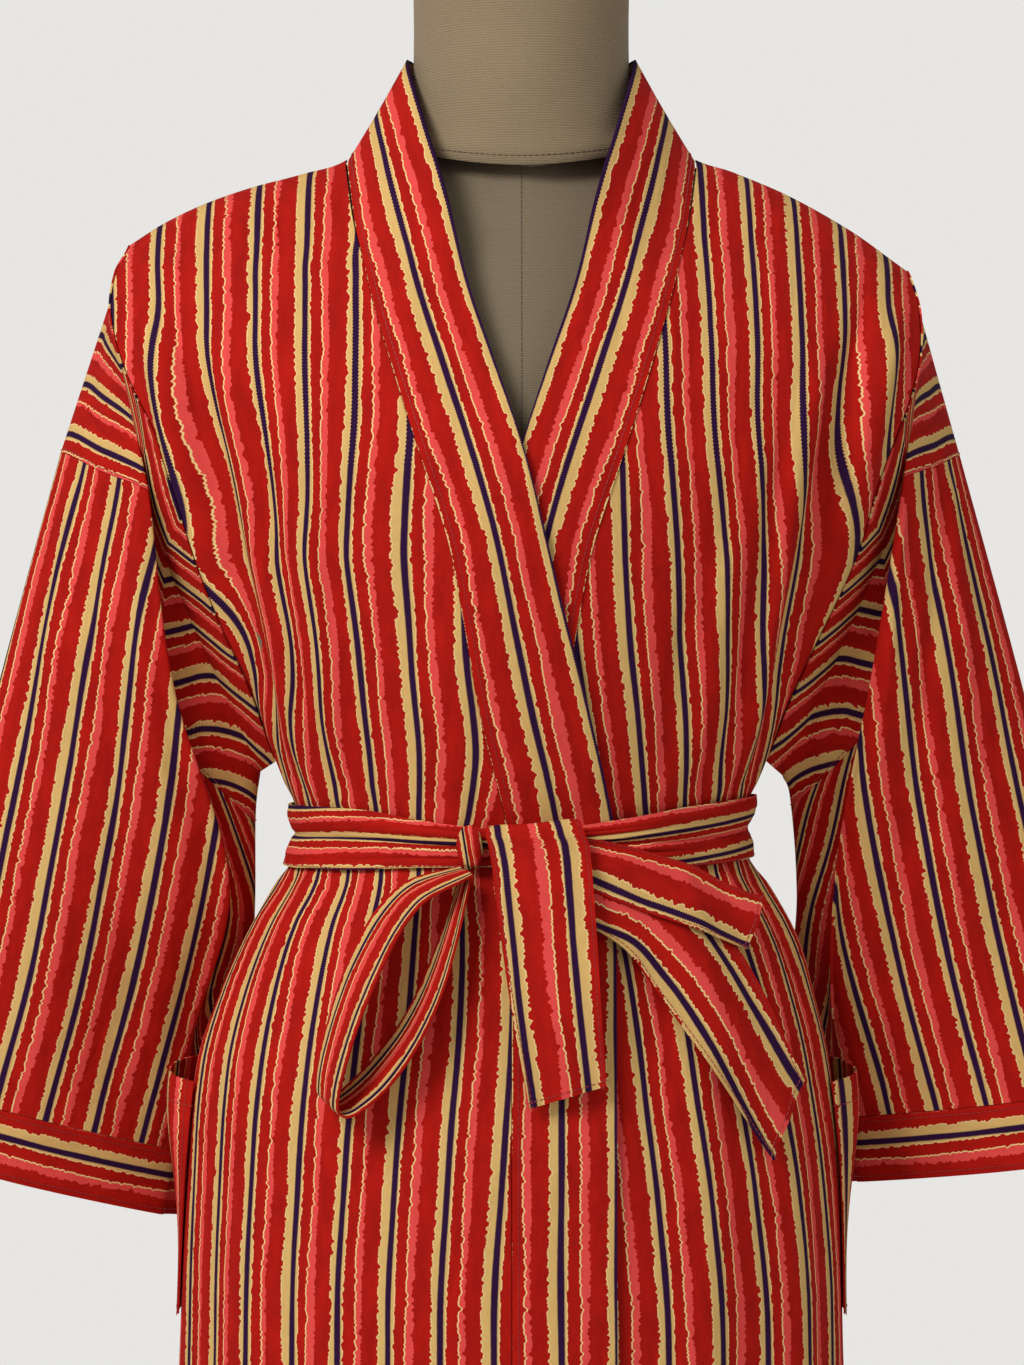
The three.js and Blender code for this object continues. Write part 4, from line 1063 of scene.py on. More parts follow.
def sash_end(path, name, slant, print_left, reversed_print=False):
    """A free end of the sash; slant is how much longer its left edge is than its right one."""
    length = path["z"][-1]
    along, t = steps(120, 0, length)[:, None], steps(28, -0.5, 0.5)[None, :]
    at = along * (1 - slant / 2 / length) - slant * t * smooth(along / length)
    c = {key: column(path, key, at) for key in ("x", "height", "out", "turn", "wide")}
    turn = np.radians(c["turn"])
    across = t * SASH_WIDTH * c["wide"]
    ripple = np.sin(along / END_RIPPLE_LENGTH + 2 * t) * smooth(along / END_RIPPLE_START)
    curl = np.cos(t * END_CURL) + END_RIPPLE * ripple
    grid = front_point(c["x"] + across * np.cos(turn), c["height"] + across * np.sin(turn), c["out"] + curl)
    wide = across * (-1 if reversed_print else 1)
    pattern = np.stack(np.broadcast_arrays(wide + print_left, along), axis=-1)
    for line in (np.s_[:, 1], np.s_[:, -2], np.s_[-3]):
        stitched("robe", grid, line, STITCH_LIFT)
    return cloth(name, grid, pattern)


def bow():
    length = BOW["z"][-1]
    along, t = steps(220, 0, length)[:, None], steps(20, -0.5, 0.5)[None, :]
    c = {key: column(BOW, key, along) for key in ("x", "height", "out", "turn", "lean", "wide")}
    lean, turn = np.radians(c["lean"]), np.radians(c["turn"])
    wide = t * SASH_WIDTH * c["wide"]
    across = wide * np.cos(lean)
    ripple = BOW_RIPPLE * np.sin(t * BOW_RIPPLE_ACROSS + along / BOW_RIPPLE_LENGTH)
    out = c["out"] + BOW_CLEAR + wide * np.sin(lean) * BOW_TURN_OUT + ripple
    grid = front_point(c["x"] + across * np.cos(turn), c["height"] + across * np.sin(turn), out)
    pattern = np.stack(np.broadcast_arrays(t * SASH_WIDTH + BOW_PRINT_START, along), axis=-1)
    return cloth("robe_sash_bow", grid, pattern)


sash_end(CENTRE_END, "robe_sash_end_centre", 17, 11, True)
sash_end(LONG_END, "robe_sash_end_long", 26, 14.5)
sash_end(SHORT_END, "robe_sash_end_short", 4, 18, True)
bow()


# %% Knot
KNOT_FROM, KNOT_TO, KNOT_LEVEL, KNOT_CLEAR = -30, -18.5, 1036, 12.3
KNOT_DEPTH, KNOT_HEIGHT, KNOT_TILT = 4.8, 10.8, 2.5


def knot():
    """The wrapped barrel over the crossing of the sash, gathered into pleats and rounded at both ends."""
    share, angle = steps(48, 0.0, 1.0)[:, None], np.radians(steps(72, 0, 360)[None, 1:])
    swell = 0.34 + 0.66 * np.sin(np.pi * share) ** 0.6
    pleat = 1 + 0.10 * np.sin(5 * angle + 6 * share) * np.sin(np.pi * share) + 0.05 * np.sin(9 * share)
    centre = front_point(mix(KNOT_FROM, KNOT_TO, share), KNOT_LEVEL + 0 * share, WRAP_HEIGHT + KNOT_CLEAR)
    deep = KNOT_DEPTH * swell * pleat * np.cos(angle)
    tall = KNOT_HEIGHT * swell * pleat * np.sin(angle)
    tilt = mix(-KNOT_TILT, KNOT_TILT, share)
    grid = centre + places(0.16 * tall, deep, tilt - tall)
    ends = [grid[k].mean(axis=0) for k in (0, -1)]
    low = [mix(ends[0], grid[0], part) for part in (0.02, 0.5, 0.85)]
    high = [mix(ends[1], grid[-1], part) for part in (0.85, 0.5, 0.02)]
    whole = np.concatenate([np.array(low), grid, np.array(high)])
    wide = np.broadcast_to(np.linspace(-22, 22, len(whole))[:, None], (len(whole), whole.shape[1] + 1))
    way = np.broadcast_to(np.linspace(0, 70, whole.shape[1] + 1), wide.shape)
    return filled("robe_sash_knot", whole, np.stack([wide + 6, way], axis=-1))


def filled(name, grid, pattern=None):
    """A solid skin round closed loops, with a small face at each end."""
    rows, columns = grid.shape[:2]
    i, j = [part.ravel() for part in np.meshgrid(np.arange(rows - 1), np.arange(columns), indexing="ij")]
    low, high, here, beside = i * columns, (i + 1) * columns, j % columns, (j + 1) % columns
    faces = np.stack([low + here, low + beside, high + beside, high + here], axis=1)
    uv = None
    if pattern is not None:
        uv = np.stack([pattern[i, j], pattern[i, j + 1], pattern[i + 1, j + 1], pattern[i + 1, j]], axis=1)
    piece = mesh_piece(name, grid.reshape(-1, 3), faces, uv)
    close_ends(piece)
    garment[name] = piece
    print(f"{name}: {len(faces) * 2} triangles")
    return piece


def close_ends(piece):
    """Fills the open loops at both ends of a skin and points every face outwards."""
    shape = bmesh.new()
    shape.from_mesh(piece.data)
    bmesh.ops.holes_fill(shape, edges=[edge for edge in shape.edges if edge.is_boundary], sides=0)
    bmesh.ops.recalc_face_normals(shape, faces=shape.faces)
    shape.to_mesh(piece.data)
    shape.free()
    piece.data.set_sharp_from_angle(angle=math.radians(50))


knot()

# %% [markdown]
# ## The dress form and its stand
# The form is a padded shell covered in ribbed jersey. Its neck is a separate cap whose edge lies a little
# over the body's cover, which is the dark seam across the throat.

# %% Dress form
FORM = table(
    "z half inset",
    (790, 148, 15),
    (860, 156, 12),
    (921, 151, 11),
    (985, 134, 10),
    (1044, 108, 8),
    (1110, 129, 12),
    (1190, 150, 14),
    (1235, 163, 12),
    (1300, 184, 10),
    (1361, 186, 8),
    (1412, 186, 6),
)
NECK = table(
    "z dip half front back",
    (1414, 14, 72, 61.5, 63),
    (1419, 5, 65, 59.5, 60),
    (1438, 0, 59.5, 58.5, 57),
    (1470, 0, 58.2, 57.5, 55.5),
    (1502, 0, 58.5, 57.5, 55.5),
)
FORM_BOTTOM, FORM_ROUND, SHOULDER_DROP = 790, 1.92, 1.9
NECK_TOP, NECK_ANGLE = 1508, 23.2


def form_line(x):
    return np.minimum(shoulder_line(x) - SHOULDER_DROP, 1401.5 + (NECK_HALF - np.abs(x)) * 0.34)


def form_loops(v, angle):
    """Loops of the form at rows v, from its right side over the front and back again."""
    front = np.abs(angle) <= 90
    across = np.sin(np.radians(angle))[None, :]
    ridge = form_line(across * column(FORM, "half", SHOULDER_POINT))
    z = row_height(v[:, None], ridge, FORM_ROUND)
    half = column(FORM, "half", z)
    x = across * half
    wide = mix(half, half_at(z, x), smooth((z - 1090) / 60))
    arm = column(BODY, "arm", z)
    crown = np.maximum(1 - np.minimum(np.abs(x) / wide, 1) ** 2, 0) ** column(BODY, "square", z)
    deep = np.where(front, column(BODY, "front", z), column(BODY, "back", z))
    inset = 1 - column(FORM, "inset", z) / deep
    depth = (arm + (deep - arm) * crown) * inset * closing_at(z, ridge, FORM_ROUND)
    return places(x, middle_at(z) + np.where(front, -depth, depth), z)


def dress_form():
    v = np.concatenate([steps(60, FORM_BOTTOM, CHEST), CHEST + SHOULDER_RUN * steps(48, 0, 1)[1:] ** 0.9])
    angle = np.concatenate([steps(80, -90, 90), steps(80, 90, 270)[1:-1]])
    grid = form_loops(v, angle)
    # The last rows run up to the edge of the neck cap
    turned_in = np.abs(np.where(angle > 90, 180 - angle, angle))
    inner = turned_in <= NECK_ANGLE
    behind = 180 - (180 - angle) / NECK_ANGLE * 90
    round_neck = np.radians(np.where(angle > 90, behind, angle / NECK_ANGLE * 90))
    ring = neck_ring(NECK["z"][0] + 0.6, round_neck[inner], 0.99)
    lift = smooth((v - CHEST - SHOULDER_RUN * 0.8) / (SHOULDER_RUN * 0.2))[:, None, None]
    grid[:, inner] = mix(grid[:, inner], ring[None], lift)
    return filled("form_body", grid)


def neck_ring(z, angle, trim=1.0):
    """Places round the neck at heights z; angle 0 is its front."""
    c = {key: column(NECK, key, np.minimum(z, 1502)) for key in ("dip", "half", "front", "back")}
    reach = np.where(np.cos(angle) > 0, c["front"], c["back"])
    return places(np.sin(angle) * c["half"] * trim, SHOULDER_BACK * 0.9 - np.cos(angle) * reach * trim,
                  z - c["dip"] * np.cos(angle) ** 2)


def form_neck():
    z = np.concatenate([steps(36, NECK["z"][0], 1502), [1506, NECK_TOP, NECK_TOP]])[:, None]
    trim = np.concatenate([np.ones(37), [0.985, 0.92, 0.3]])[:, None]
    angle = np.radians(steps(128, 0, 360)[None, 1:])
    grid = neck_ring(z, angle, trim)
    below = grid[0] * [0.975, 0.975, 1] - [0, 0, 3]
    return filled("form_neck", np.concatenate([below[None], grid]))


def form_seam_lines():
    """The seam of the neck cap and the centre front seam below it."""
    angle = np.radians(steps(160, -90, 90))
    edge = neck_ring(np.full(161, NECK["z"][0] + 0.6), angle)
    seams.append(("form", edge + places(0 * angle, -0.25, 0)))
    v = CHEST + SHOULDER_RUN * steps(80, 0, 0.9) ** 0.9
    front = form_loops(v, np.array([-0.4, 0.0, 0.4]))[:, 1]
    seams.append(("form", front + [0, -0.25, 0]))


dress_form()
form_neck()
form_seam_lines()


# %% Stand
def turned(name, profile, segments=96):
    """A turned part: a profile of radius and height, swept round the pole."""
    angle = np.radians(steps(segments, 0, 360)[None, 1:])
    radius, height = [np.array(part, dtype=float)[:, None] for part in zip(*profile)]
    return filled(name, places(radius * np.cos(angle), radius * np.sin(angle), height))


POLE_RADIUS, BASE_RADIUS, BASE_HEIGHT, BOSS_RADIUS, BOSS_HEIGHT = 16, 190, 14, 30, 60
turned("stand_foot", [
    (4, 0), (BASE_RADIUS, 0), (BASE_RADIUS + 2.4, 1.6), (BASE_RADIUS + 3, 5), (BASE_RADIUS, 9.4),
    (BASE_RADIUS - 4, BASE_HEIGHT - 2), (BOSS_RADIUS + 14, BASE_HEIGHT + 4),
    (BOSS_RADIUS + 5, BASE_HEIGHT + 7),
    (BOSS_RADIUS, BASE_HEIGHT + 12), (BOSS_RADIUS - 6, BOSS_HEIGHT - 2), (BOSS_RADIUS - 8, BOSS_HEIGHT),
    (POLE_RADIUS + 0.4, BOSS_HEIGHT), (POLE_RADIUS + 0.4, BASE_HEIGHT - 4), (4, BASE_HEIGHT - 4)])
turned("stand_tube", [
    (1, BASE_HEIGHT - 3.6), (POLE_RADIUS, BASE_HEIGHT - 3.6),
    (POLE_RADIUS, FORM_BOTTOM - 0.4), (1, FORM_BOTTOM - 0.4)], 64)

# %% [markdown]
# ## Stitches
# A row of stitches is one short thread repeated along a line. Geometry Nodes do that: the line is divided
# into equal steps, a thread is laid on each along the line's direction, and the copies become one mesh.

# %% Stitch maker
STITCH_PITCH, STITCH_LENGTH, STITCH_RADIUS = 3.2, 2.3, 0.24


def stitch_tree():
    """A node tree that lays threads along the edges of a mesh."""
    tree = bpy.data.node_groups.new("stitches", "GeometryNodeTree")
    for name, kind in (("Lines", "NodeSocketGeometry"), ("Pitch", "NodeSocketFloat"),
                       ("Length", "NodeSocketFloat"), ("Radius", "NodeSocketFloat"),
                       ("Thread", "NodeSocketMaterial")):
        tree.interface.new_socket(name, in_out="INPUT", socket_type=kind)
    tree.interface.new_socket("Stitches", in_out="OUTPUT", socket_type="NodeSocketGeometry")
    nodes, join = tree.nodes, tree.links.new
    given, result = nodes.new("NodeGroupInput"), nodes.new("NodeGroupOutput")
    curve = nodes.new("GeometryNodeMeshToCurve")
    resample = nodes.new("GeometryNodeResampleCurve")
    resample.mode = "LENGTH"
    thread = nodes.new("GeometryNodeMeshCylinder")
    thread.inputs["Vertices"].default_value = 5
    tangent = nodes.new("GeometryNodeInputTangent")
    turn = nodes.new("FunctionNodeAlignEulerToVector")
    turn.axis = "Z"
    lay = nodes.new("GeometryNodeInstanceOnPoints")
    real, paint_it = nodes.new("GeometryNodeRealizeInstances"), nodes.new("GeometryNodeSetMaterial")
    join(given.outputs["Lines"], curve.inputs["Mesh"])
    join(curve.outputs["Curve"], resample.inputs["Curve"])
    join(given.outputs["Pitch"], resample.inputs["Length"])
    join(given.outputs["Length"], thread.inputs["Depth"])
    join(given.outputs["Radius"], thread.inputs["Radius"])
    join(tangent.outputs["Tangent"], turn.inputs["Vector"])
    join(resample.outputs["Curve"], lay.inputs["Points"])
    join(thread.outputs["Mesh"], lay.inputs["Instance"])
    join(turn.outputs["Rotation"], lay.inputs["Rotation"])
    join(lay.outputs["Instances"], real.inputs["Geometry"])
    join(real.outputs["Geometry"], paint_it.inputs["Geometry"])
    join(given.outputs["Thread"], paint_it.inputs["Material"])
    join(paint_it.outputs["Geometry"], result.inputs["Stitches"])
    return tree


def stitch_rows(name, lines, material):
    """One mesh of all the stitches along some lines."""
    mesh = bpy.data.meshes.new(name + "_lines")
    points, edges = np.concatenate(lines) * MM, []
    start = 0
    for line in lines:
        edges += [(start + k, start + k + 1) for k in range(len(line) - 1)]
        start += len(line)
    mesh.from_pydata(points.tolist(), edges, [])
    guide = bpy.data.objects.new(name + "_lines", mesh)
    COLLECTION.objects.link(guide)
    modifier = guide.modifiers.new("stitches", "NODES")
    modifier.node_group = STITCHES
    values = {"Pitch": STITCH_PITCH * MM, "Length": STITCH_LENGTH * MM, "Radius": STITCH_RADIUS * MM,
              "Thread": material}
    for item in STITCHES.interface.items_tree:
        if item.name in values:
            modifier[item.identifier] = values[item.name]
    done = bpy.data.meshes.new_from_object(guide.evaluated_get(bpy.context.evaluated_depsgraph_get()))
    bpy.data.objects.remove(guide)
    piece = bpy.data.objects.new(name, done)
    COLLECTION.objects.link(piece)
    print(f"{name}: {len(done.polygons)} faces")
    return piece


STITCHES = stitch_tree()

# %% [markdown]
# ## Writing materials as sums
# A material is a small network of nodes. Written by hand it takes many lines, so `Wire` holds the output
# of a node and lets it be added, multiplied and compared like a number, and `Finish.node` adds any other
# kind of node with its settings and the values of its sockets.

# %% Material tools
class Wire:
    """The output of a node, which can be calculated with."""

    def __init__(self, finish, socket):
        self.finish, self.socket = finish, socket

    def sum(self, operation, *others):
        node = self.finish.tree.nodes.new("ShaderNodeMath")
        node.operation = operation
        for slot, value in zip(node.inputs, (self, *others)):
            self.finish.feed(slot, value)
        return Wire(self.finish, node.outputs[0])

    def swapped(self, operation, other):
        node = self.finish.tree.nodes.new("ShaderNodeMath")
        node.operation = operation
        self.finish.feed(node.inputs[0], other)
        self.finish.feed(node.inputs[1], self)
        return Wire(self.finish, node.outputs[0])

    def __add__(self, other):
        return self.sum("ADD", other)

    def __radd__(self, other):
        return self.sum("ADD", other)

    def __sub__(self, other):
        return self.sum("SUBTRACT", other)

    def __rsub__(self, other):
        return self.swapped("SUBTRACT", other)

    def __mul__(self, other):
        return self.sum("MULTIPLY", other)

    def __rmul__(self, other):
        return self.sum("MULTIPLY", other)

    def __truediv__(self, other):
        return self.sum("DIVIDE", other)

    def floor(self):
        return self.sum("FLOOR")

    def modulo(self, other):
        return self.sum("FLOORED_MODULO", other)

    def sine(self):
        return self.sum("SINE")

    def size(self):
        return self.sum("ABSOLUTE")

    def after(self, edge, soft):
        """0 before an edge and 1 after it, with a soft step that wide."""
        step = (self - edge) / soft + 0.5
        step.socket.node.use_clamp = True
        return step


class Finish:
    """A material made of one Principled shader and the nodes that feed it."""

    def __init__(self, name, **sockets):
        self.material = bpy.data.materials.new(name)
        self.material.use_nodes = True
        self.tree = self.material.node_tree
        self.shader = self.tree.nodes["Principled BSDF"]
        self.set(**sockets)

    def feed(self, slot, value):
        if isinstance(value, Wire):
            self.tree.links.new(value.socket, slot)
        elif isinstance(value, tuple) and len(value) == 3 and len(getattr(slot, "default_value", ())) == 4:
            slot.default_value = (*value, 1)
        else:
            slot.default_value = value

    def set(self, **sockets):
        for name, value in sockets.items():
            self.feed(self.shader.inputs[name.replace("_", " ")], value)

    def node(self, kind, settings=None, output=0, **sockets):
        """Adds a node, sets its settings, then its sockets, and gives one of its outputs."""
        node = self.tree.nodes.new(kind)
        for name, value in (settings or {}).items():
            setattr(node, name, value)
        for name, value in sockets.items():
            self.feed(node.inputs[name.replace("_", " ")], value)
        return Wire(self, node.outputs[output])

    def vector(self, x, y, z=0.0):
        return self.node("ShaderNodeCombineXYZ", X=x, Y=y, Z=z)

    def blend(self, share, a, b):
        """One colour turning into another."""
        node = self.tree.nodes.new("ShaderNodeMix")
        node.data_type = "RGBA"
        for index, value in ((0, share), (6, a), (7, b)):
            self.feed(node.inputs[index], value)
        return Wire(self, node.outputs[2])

    def noise(self, vector, scale=1.0, detail=2.0, roughness=0.5, dimensions="3D"):
        """Smooth noise from 0 to 1."""
        return self.node("ShaderNodeTexNoise", {"noise_dimensions": dimensions}, Vector=vector,
                         Scale=scale, Detail=detail, Roughness=roughness)

    def bump(self, height, distance, strength=1.0, normal=None):
        extra = {} if normal is None else {"Normal": normal}
        return self.node("ShaderNodeBump", Height=height, Distance=distance, Strength=strength, **extra)


def screen(red, green, blue):
    """A colour as it is seen on a screen, 0 to 255, turned into light."""
    def light(value):
        share = value / 255
        return share / 12.92 if share <= 0.04045 else ((share + 0.055) / 1.055) ** 2.4
    return light(red), light(green), light(blue)


# %% [markdown]
# ## The printed cotton
# The stripes are hand-block printed: every edge wobbles by itself, in small teeth a few millimetres long and
# in slow bends, and no stripe keeps its width. In the shader each edge of a stripe is a line across the
# print whose place is moved by its own noise. What lies between two edges gets that stripe's dye. The noise
# also depends on the number of the repeat, so that no two stripes are alike.

# %% Printed cotton
PRINT_REPEAT = 28.0
PRINT_MIDDLE_RED = 11.0
RED, DEEP_RED = screen(182, 22, 10), screen(158, 16, 8)
CREAM, PALE_CREAM = screen(214, 174, 106), screen(240, 206, 140)
VIOLET, CORAL = screen(44, 12, 54), screen(226, 74, 70)
# Edges across one repeat, from left to right, with how much each moves slowly and in teeth
STRIPE_EDGES = {
    "cream_left": (-5.9, 0.9, 2.3),
    "violet_left": (-1.65, 0.3, 0.15),
    "violet_right": (1.65, 0.3, 0.15),
    "cream_right": (3.0, 0.5, 1.5),
    "coral_left": (10.0, 0.9, 1.8),
    "coral_right": (13.3, 1.2, 2.2),
}
TOOTH_LENGTH, BEND_LENGTH = 6.5, 60.0


def printed_cotton(name="printed_cotton"):
    cotton = Finish(name, Roughness=0.85, Specular_IOR_Level=0.12)
    uv = cotton.node("ShaderNodeUVMap", {"uv_map": "cloth"})
    parts = cotton.tree.nodes.new("ShaderNodeSeparateXYZ")
    cotton.tree.links.new(uv.socket, parts.inputs[0])
    u, v = Wire(cotton, parts.outputs[0]) * 1000.0, Wire(cotton, parts.outputs[1]) * 1000.0
    lean = (cotton.noise(cotton.vector(u / 300.0, v / 160.0), detail=1.0, dimensions="2D") - 0.5) * 3.0
    shifted = u + lean + PRINT_MIDDLE_RED
    repeat = (shifted / PRINT_REPEAT).floor()
    across = shifted - repeat * PRINT_REPEAT - PRINT_MIDDLE_RED
    wide_repeat = repeat.modulo(2.0)

    edge = {}
    for number, (place, (middle, bend, tooth)) in enumerate(STRIPE_EDGES.items()):
        lane = repeat * 7.31 + number * 3.17
        slow = cotton.noise(cotton.vector(lane, v / BEND_LENGTH), detail=1.0, dimensions="2D") - 0.5
        rough = cotton.noise(cotton.vector(lane + 51.3, v / TOOTH_LENGTH), detail=2.0, roughness=0.75,
                             dimensions="2D")
        # Folding the noise over its middle gives pointed teeth, which all point away from the stripe
        teeth = (rough - 0.5).size() * 3.6 - 0.45
        outward = -1.0 if place in ("cream_left", "violet_left", "coral_left") else 1.0
        edge[place] = slow * (bend * 3.4) - teeth * (tooth * outward) + middle
    edge["cream_left"] = edge["cream_left"] + wide_repeat * 1.5
    edge["coral_right"] = edge["coral_right"] - wide_repeat * 1.0
    saw = ((v * (2 * math.pi / 1.2)).sine() * 0.22)
    edge["violet_left"] = edge["violet_left"] - saw
    edge["violet_right"] = edge["violet_right"] + saw

    soft = 0.22
    cream = across.after(edge["cream_left"], soft) * (1.0 - across.after(edge["cream_right"], soft))
    violet = across.after(edge["violet_left"], soft) * (1.0 - across.after(edge["violet_right"], soft))
    coral = across.after(edge["coral_left"], soft) * (1.0 - across.after(edge["coral_right"], soft))
    rim_width = 0.55
    inside = across.after(edge["cream_left"] + rim_width, 0.4) * (
        1.0 - across.after(edge["cream_right"] - rim_width, 0.4))
    coral_line = across.after(edge["coral_left"] - 0.6, soft) * (
        1.0 - across.after(edge["coral_left"] + 0.1, soft))

    mottle = cotton.noise(cotton.vector(u / 9.0, v / 26.0), detail=3.0, roughness=0.6, dimensions="2D")
    red = cotton.blend(mottle.after(0.5, 0.5), RED, DEEP_RED)
    cream_dye = cotton.blend(inside, PALE_CREAM, CREAM)
    dyed = cotton.blend(coral, red, CORAL)
    dyed = cotton.blend(coral_line, dyed, PALE_CREAM)
    dyed = cotton.blend(cream, dyed, cream_dye)
    dyed = cotton.blend(violet, dyed, VIOLET)

    warp, weft = (u * (2 * math.pi / 0.55)).sine(), (v * (2 * math.pi / 0.6)).sine()
    slub = cotton.noise(cotton.vector(u / 0.7, v / 5.0), detail=2.0, dimensions="2D")
    tone = (slub - 0.5) * 0.22 + 1.0 + warp * weft * 0.03
    toned = cotton.node("ShaderNodeVectorMath", {"operation": "SCALE"})
    cotton.tree.links.new(dyed.socket, toned.socket.node.inputs[0])
    cotton.feed(toned.socket.node.inputs["Scale"], tone)
    cotton.set(Base_Color=toned)
    weave = warp * 0.5 + weft * 0.5 + slub * 1.2
    crumple = cotton.noise(cotton.vector(u / 26.0, v / 60.0), detail=3.0, roughness=0.55, dimensions="2D")
    rough = cotton.bump(crumple, 0.006, 0.5)
    cotton.set(Normal=cotton.bump(weave, 0.00012, 0.5, rough))
    return cotton.material


cotton = printed_cotton()

# %% [markdown]
# ## The form's jersey, the threads and the stand
# The form's cover is a ribbed beige jersey whose ribs go round it, about 1.3 mm apart. The throat below the
# cap lies in the robe's shadow, so its cover is a darker copy of the jersey, painted shade. The stand is
# satin black paint.

# %% Jersey, threads and paint
def ribbed_jersey(name, light, dark, rib=1.3):
    jersey = Finish(name, Roughness=0.88, Specular_IOR_Level=0.2, Sheen_Weight=0.15, Sheen_Roughness=0.5)
    where = jersey.node("ShaderNodeTexCoord", output=3)
    parts = jersey.tree.nodes.new("ShaderNodeSeparateXYZ")
    jersey.tree.links.new(where.socket, parts.inputs[0])
    x, y, z = [Wire(jersey, output) * 1000.0 for output in parts.outputs]
    wander = jersey.noise(jersey.vector(x / 40.0, y / 40.0, z / 9.0), detail=2.0) * 2.4
    ribs = ((z + wander) * (2 * math.pi / rib)).sine()
    knit = jersey.noise(jersey.vector(x / 1.6, y / 1.6, z / 0.5), detail=2.0)
    cloud = jersey.noise(jersey.vector(x / 60.0, y / 60.0, z / 60.0), detail=3.0)
    share = ribs * 0.16 + (knit - 0.5) * 0.5 + (cloud - 0.5) * 0.35 + 0.5
    jersey.set(Base_Color=jersey.blend(share, dark, light))
    jersey.set(Normal=jersey.bump(ribs * 0.5 + knit, 0.00025, 0.5))
    return jersey.material


def thread(name, colour):
    return Finish(name, Base_Color=colour, Roughness=0.6, Sheen_Weight=0.2).material


def satin_paint():
    paint = Finish("satin_paint", Metallic=0.0, Coat_Weight=0.25, Coat_Roughness=0.25)
    where = paint.node("ShaderNodeTexCoord", output=3)
    speck = paint.noise(where, scale=900.0, detail=2.0)
    worn = paint.noise(where, scale=14.0, detail=4.0, roughness=0.65)
    paint.set(Base_Color=paint.blend(worn, screen(26, 26, 29), screen(44, 44, 48)))
    paint.set(Roughness=worn * 0.25 + 0.32, Normal=paint.bump(speck, 0.00006, 0.6))
    return paint.material


neck_jersey = ribbed_jersey("neck_jersey", screen(158, 138, 108), screen(114, 97, 74))
# painted shade: the body's cover is a darker copy of the neck's jersey, for the robe's shadow on the throat
shaded_body_jersey = ribbed_jersey("shaded_body_jersey", screen(136, 121, 97), screen(98, 85, 67))
paint = satin_paint()


red_thread = thread("red_thread", screen(150, 22, 18))
dark_thread = thread("dark_thread", screen(72, 60, 46))
rows = {}
for kind, material in (("robe", red_thread), ("form", dark_thread)):
    lines = [line for owner, line in seams if owner == kind]
    rows[kind] = stitch_rows(f"{kind}_stitches", lines, material)


def finish_with(piece, material):
    piece.data.materials.clear()
    piece.data.materials.append(material)


for name, piece in garment.items():
    if name.startswith("stand"):
        finish_with(piece, paint)
    elif name == "form_neck":
        finish_with(piece, neck_jersey)
    elif name == "form_body":
        finish_with(piece, shaded_body_jersey)
    else:
        finish_with(piece, cotton)

# %% [markdown]
# ## Light and floor
# The photograph was taken by a window: broad soft light from the front and a little from the left and
# above, and a pale wall that fills the shadows. Two large area lights and a pale sky do the same, over a
# plain floor that the lens doesn't take in.

# %% Studio
SKY_LIGHT, WALL_LIGHT = 0.4, 0.8
LAMPS = (("window", (-1.7, -2.1, 2.9), 1.3, 76), ("fill", (2.2, -2.4, 1.4), 2.2, 8))


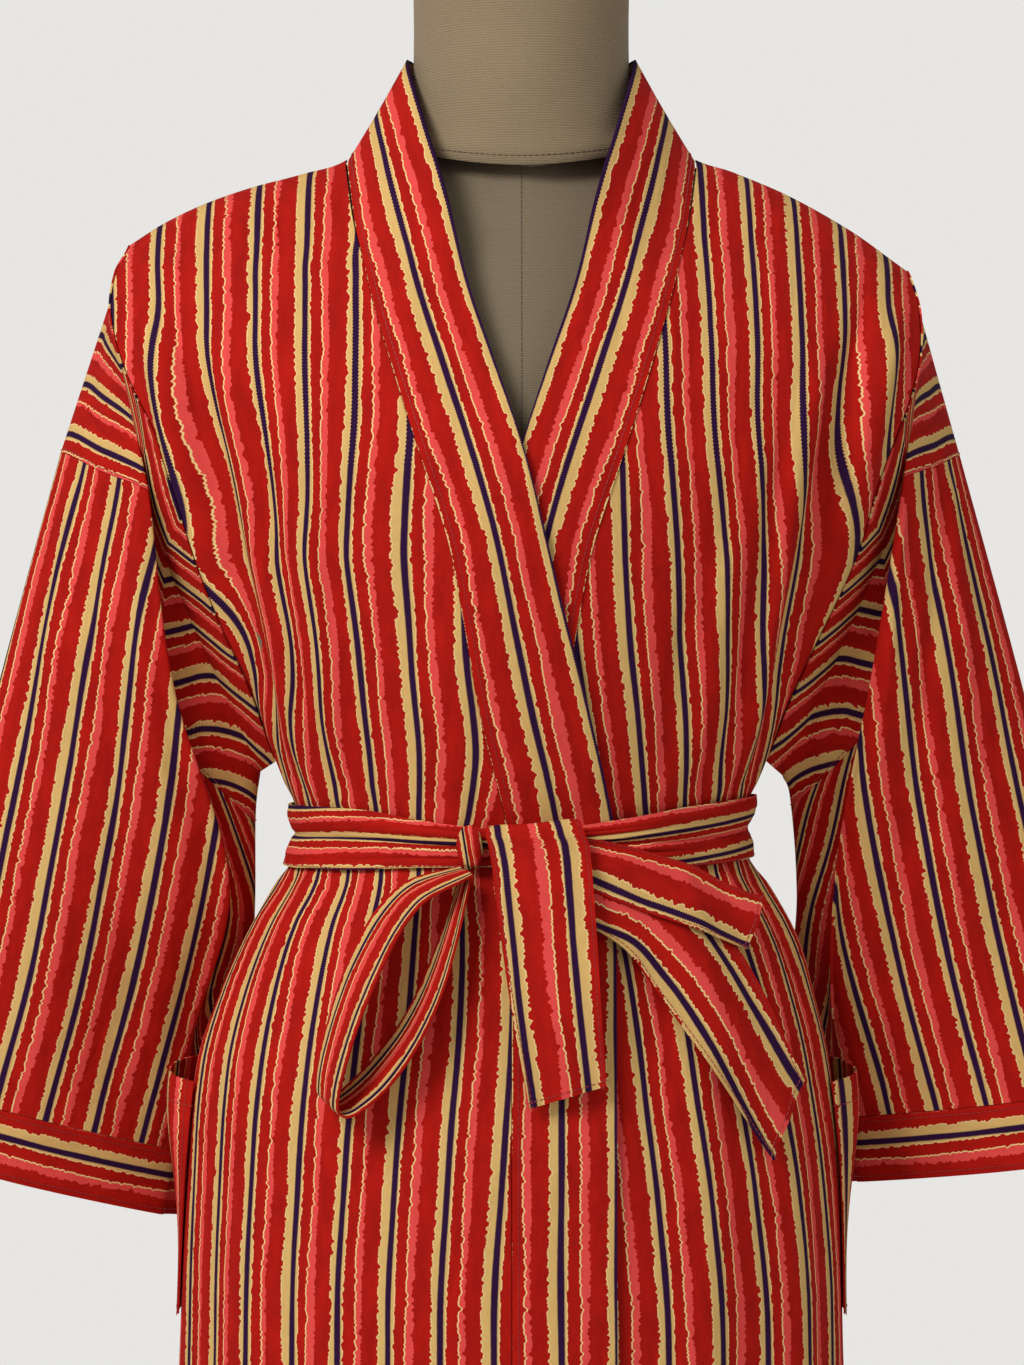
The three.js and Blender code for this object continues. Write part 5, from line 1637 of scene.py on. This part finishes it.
def studio():
    world = bpy.data.worlds.new("studio")
    bpy.context.scene.world = world
    world.use_nodes = True
    sky = world.node_tree.nodes["Background"]
    sky.inputs["Color"].default_value = (1.0, 0.985, 0.96, 1)
    tree = world.node_tree
    seen = tree.nodes.new("ShaderNodeLightPath")
    strength = tree.nodes.new("ShaderNodeMix")
    strength.inputs[2].default_value, strength.inputs[3].default_value = SKY_LIGHT, WALL_LIGHT
    tree.links.new(seen.outputs["Is Camera Ray"], strength.inputs[0])
    tree.links.new(strength.outputs[0], sky.inputs["Strength"])
    for name, place, size, power in LAMPS:
        light = bpy.data.lights.new(name, "AREA")
        light.size, light.energy = size, power
        lamp = bpy.data.objects.new(name, light)
        lamp.location = place
        aim = Vector((0, 0, 1.1)) - lamp.location
        lamp.rotation_euler = aim.to_track_quat("-Z", "Y").to_euler()
        COLLECTION.objects.link(lamp)
    size = 3.2
    mesh = bpy.data.meshes.new("floor")
    corners = [(-size, -size, 0), (size, -size, 0), (size, size, 0), (-size, size, 0)]
    mesh.from_pydata(corners, [], [(0, 1, 2, 3)])
    floor = bpy.data.objects.new("floor", mesh)
    COLLECTION.objects.link(floor)
    finish_with(floor, Finish("floor", Base_Color=(0.72, 0.72, 0.71), Roughness=0.8).material)


studio()

# %% [markdown]
# ## Hand the pieces over
# Each shell rides on the part's one body and stands for its solid. No pattern was measured. These are
# estimates, settled after the areas of the shells were known. The bow is declared smaller than its strip of
# 45 by 275 mm, because its shell holds less cloth than that strip has.

# %% Pieces and solids
STANDS_FOR = {
    "robe_front_right": "front_right", "robe_front_left": "front_left", "robe_back": "back",
    "robe_band_right": "band_right", "robe_band_left": "band_left", "robe_band_back": "band_back",
    "robe_yoke_right": "sleeve_top_right", "robe_yoke_left": "sleeve_top_left",
    "robe_sleeve_right": "sleeve_right", "robe_sleeve_left": "sleeve_left",
    "robe_cuff_right": "cuff_right", "robe_cuff_left": "cuff_left",
    "robe_pocket_right": "pocket_right", "robe_pocket_left": "pocket_left",
    "robe_sash_round": "sash_round", "robe_sash_knot": "sash_knot", "robe_sash_bow": "sash_bow",
    "robe_sash_end_centre": "sash_end_centre", "robe_sash_end_long": "sash_end_long",
    "robe_sash_end_short": "sash_end_short",
    "form_body": "dress_form", "form_neck": "dress_form",
    "stand_foot": "stand_base", "stand_tube": "stand_pole",
}
# Each piece rides on the root body, and the CAD node it stands for is hidden
for name, piece in garment.items():
    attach(piece, "root")
    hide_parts(STANDS_FOR[name])

for kind, slot in (("robe", "striped_cotton"), ("form", "form_cover")):
    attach(rows[kind], "root")
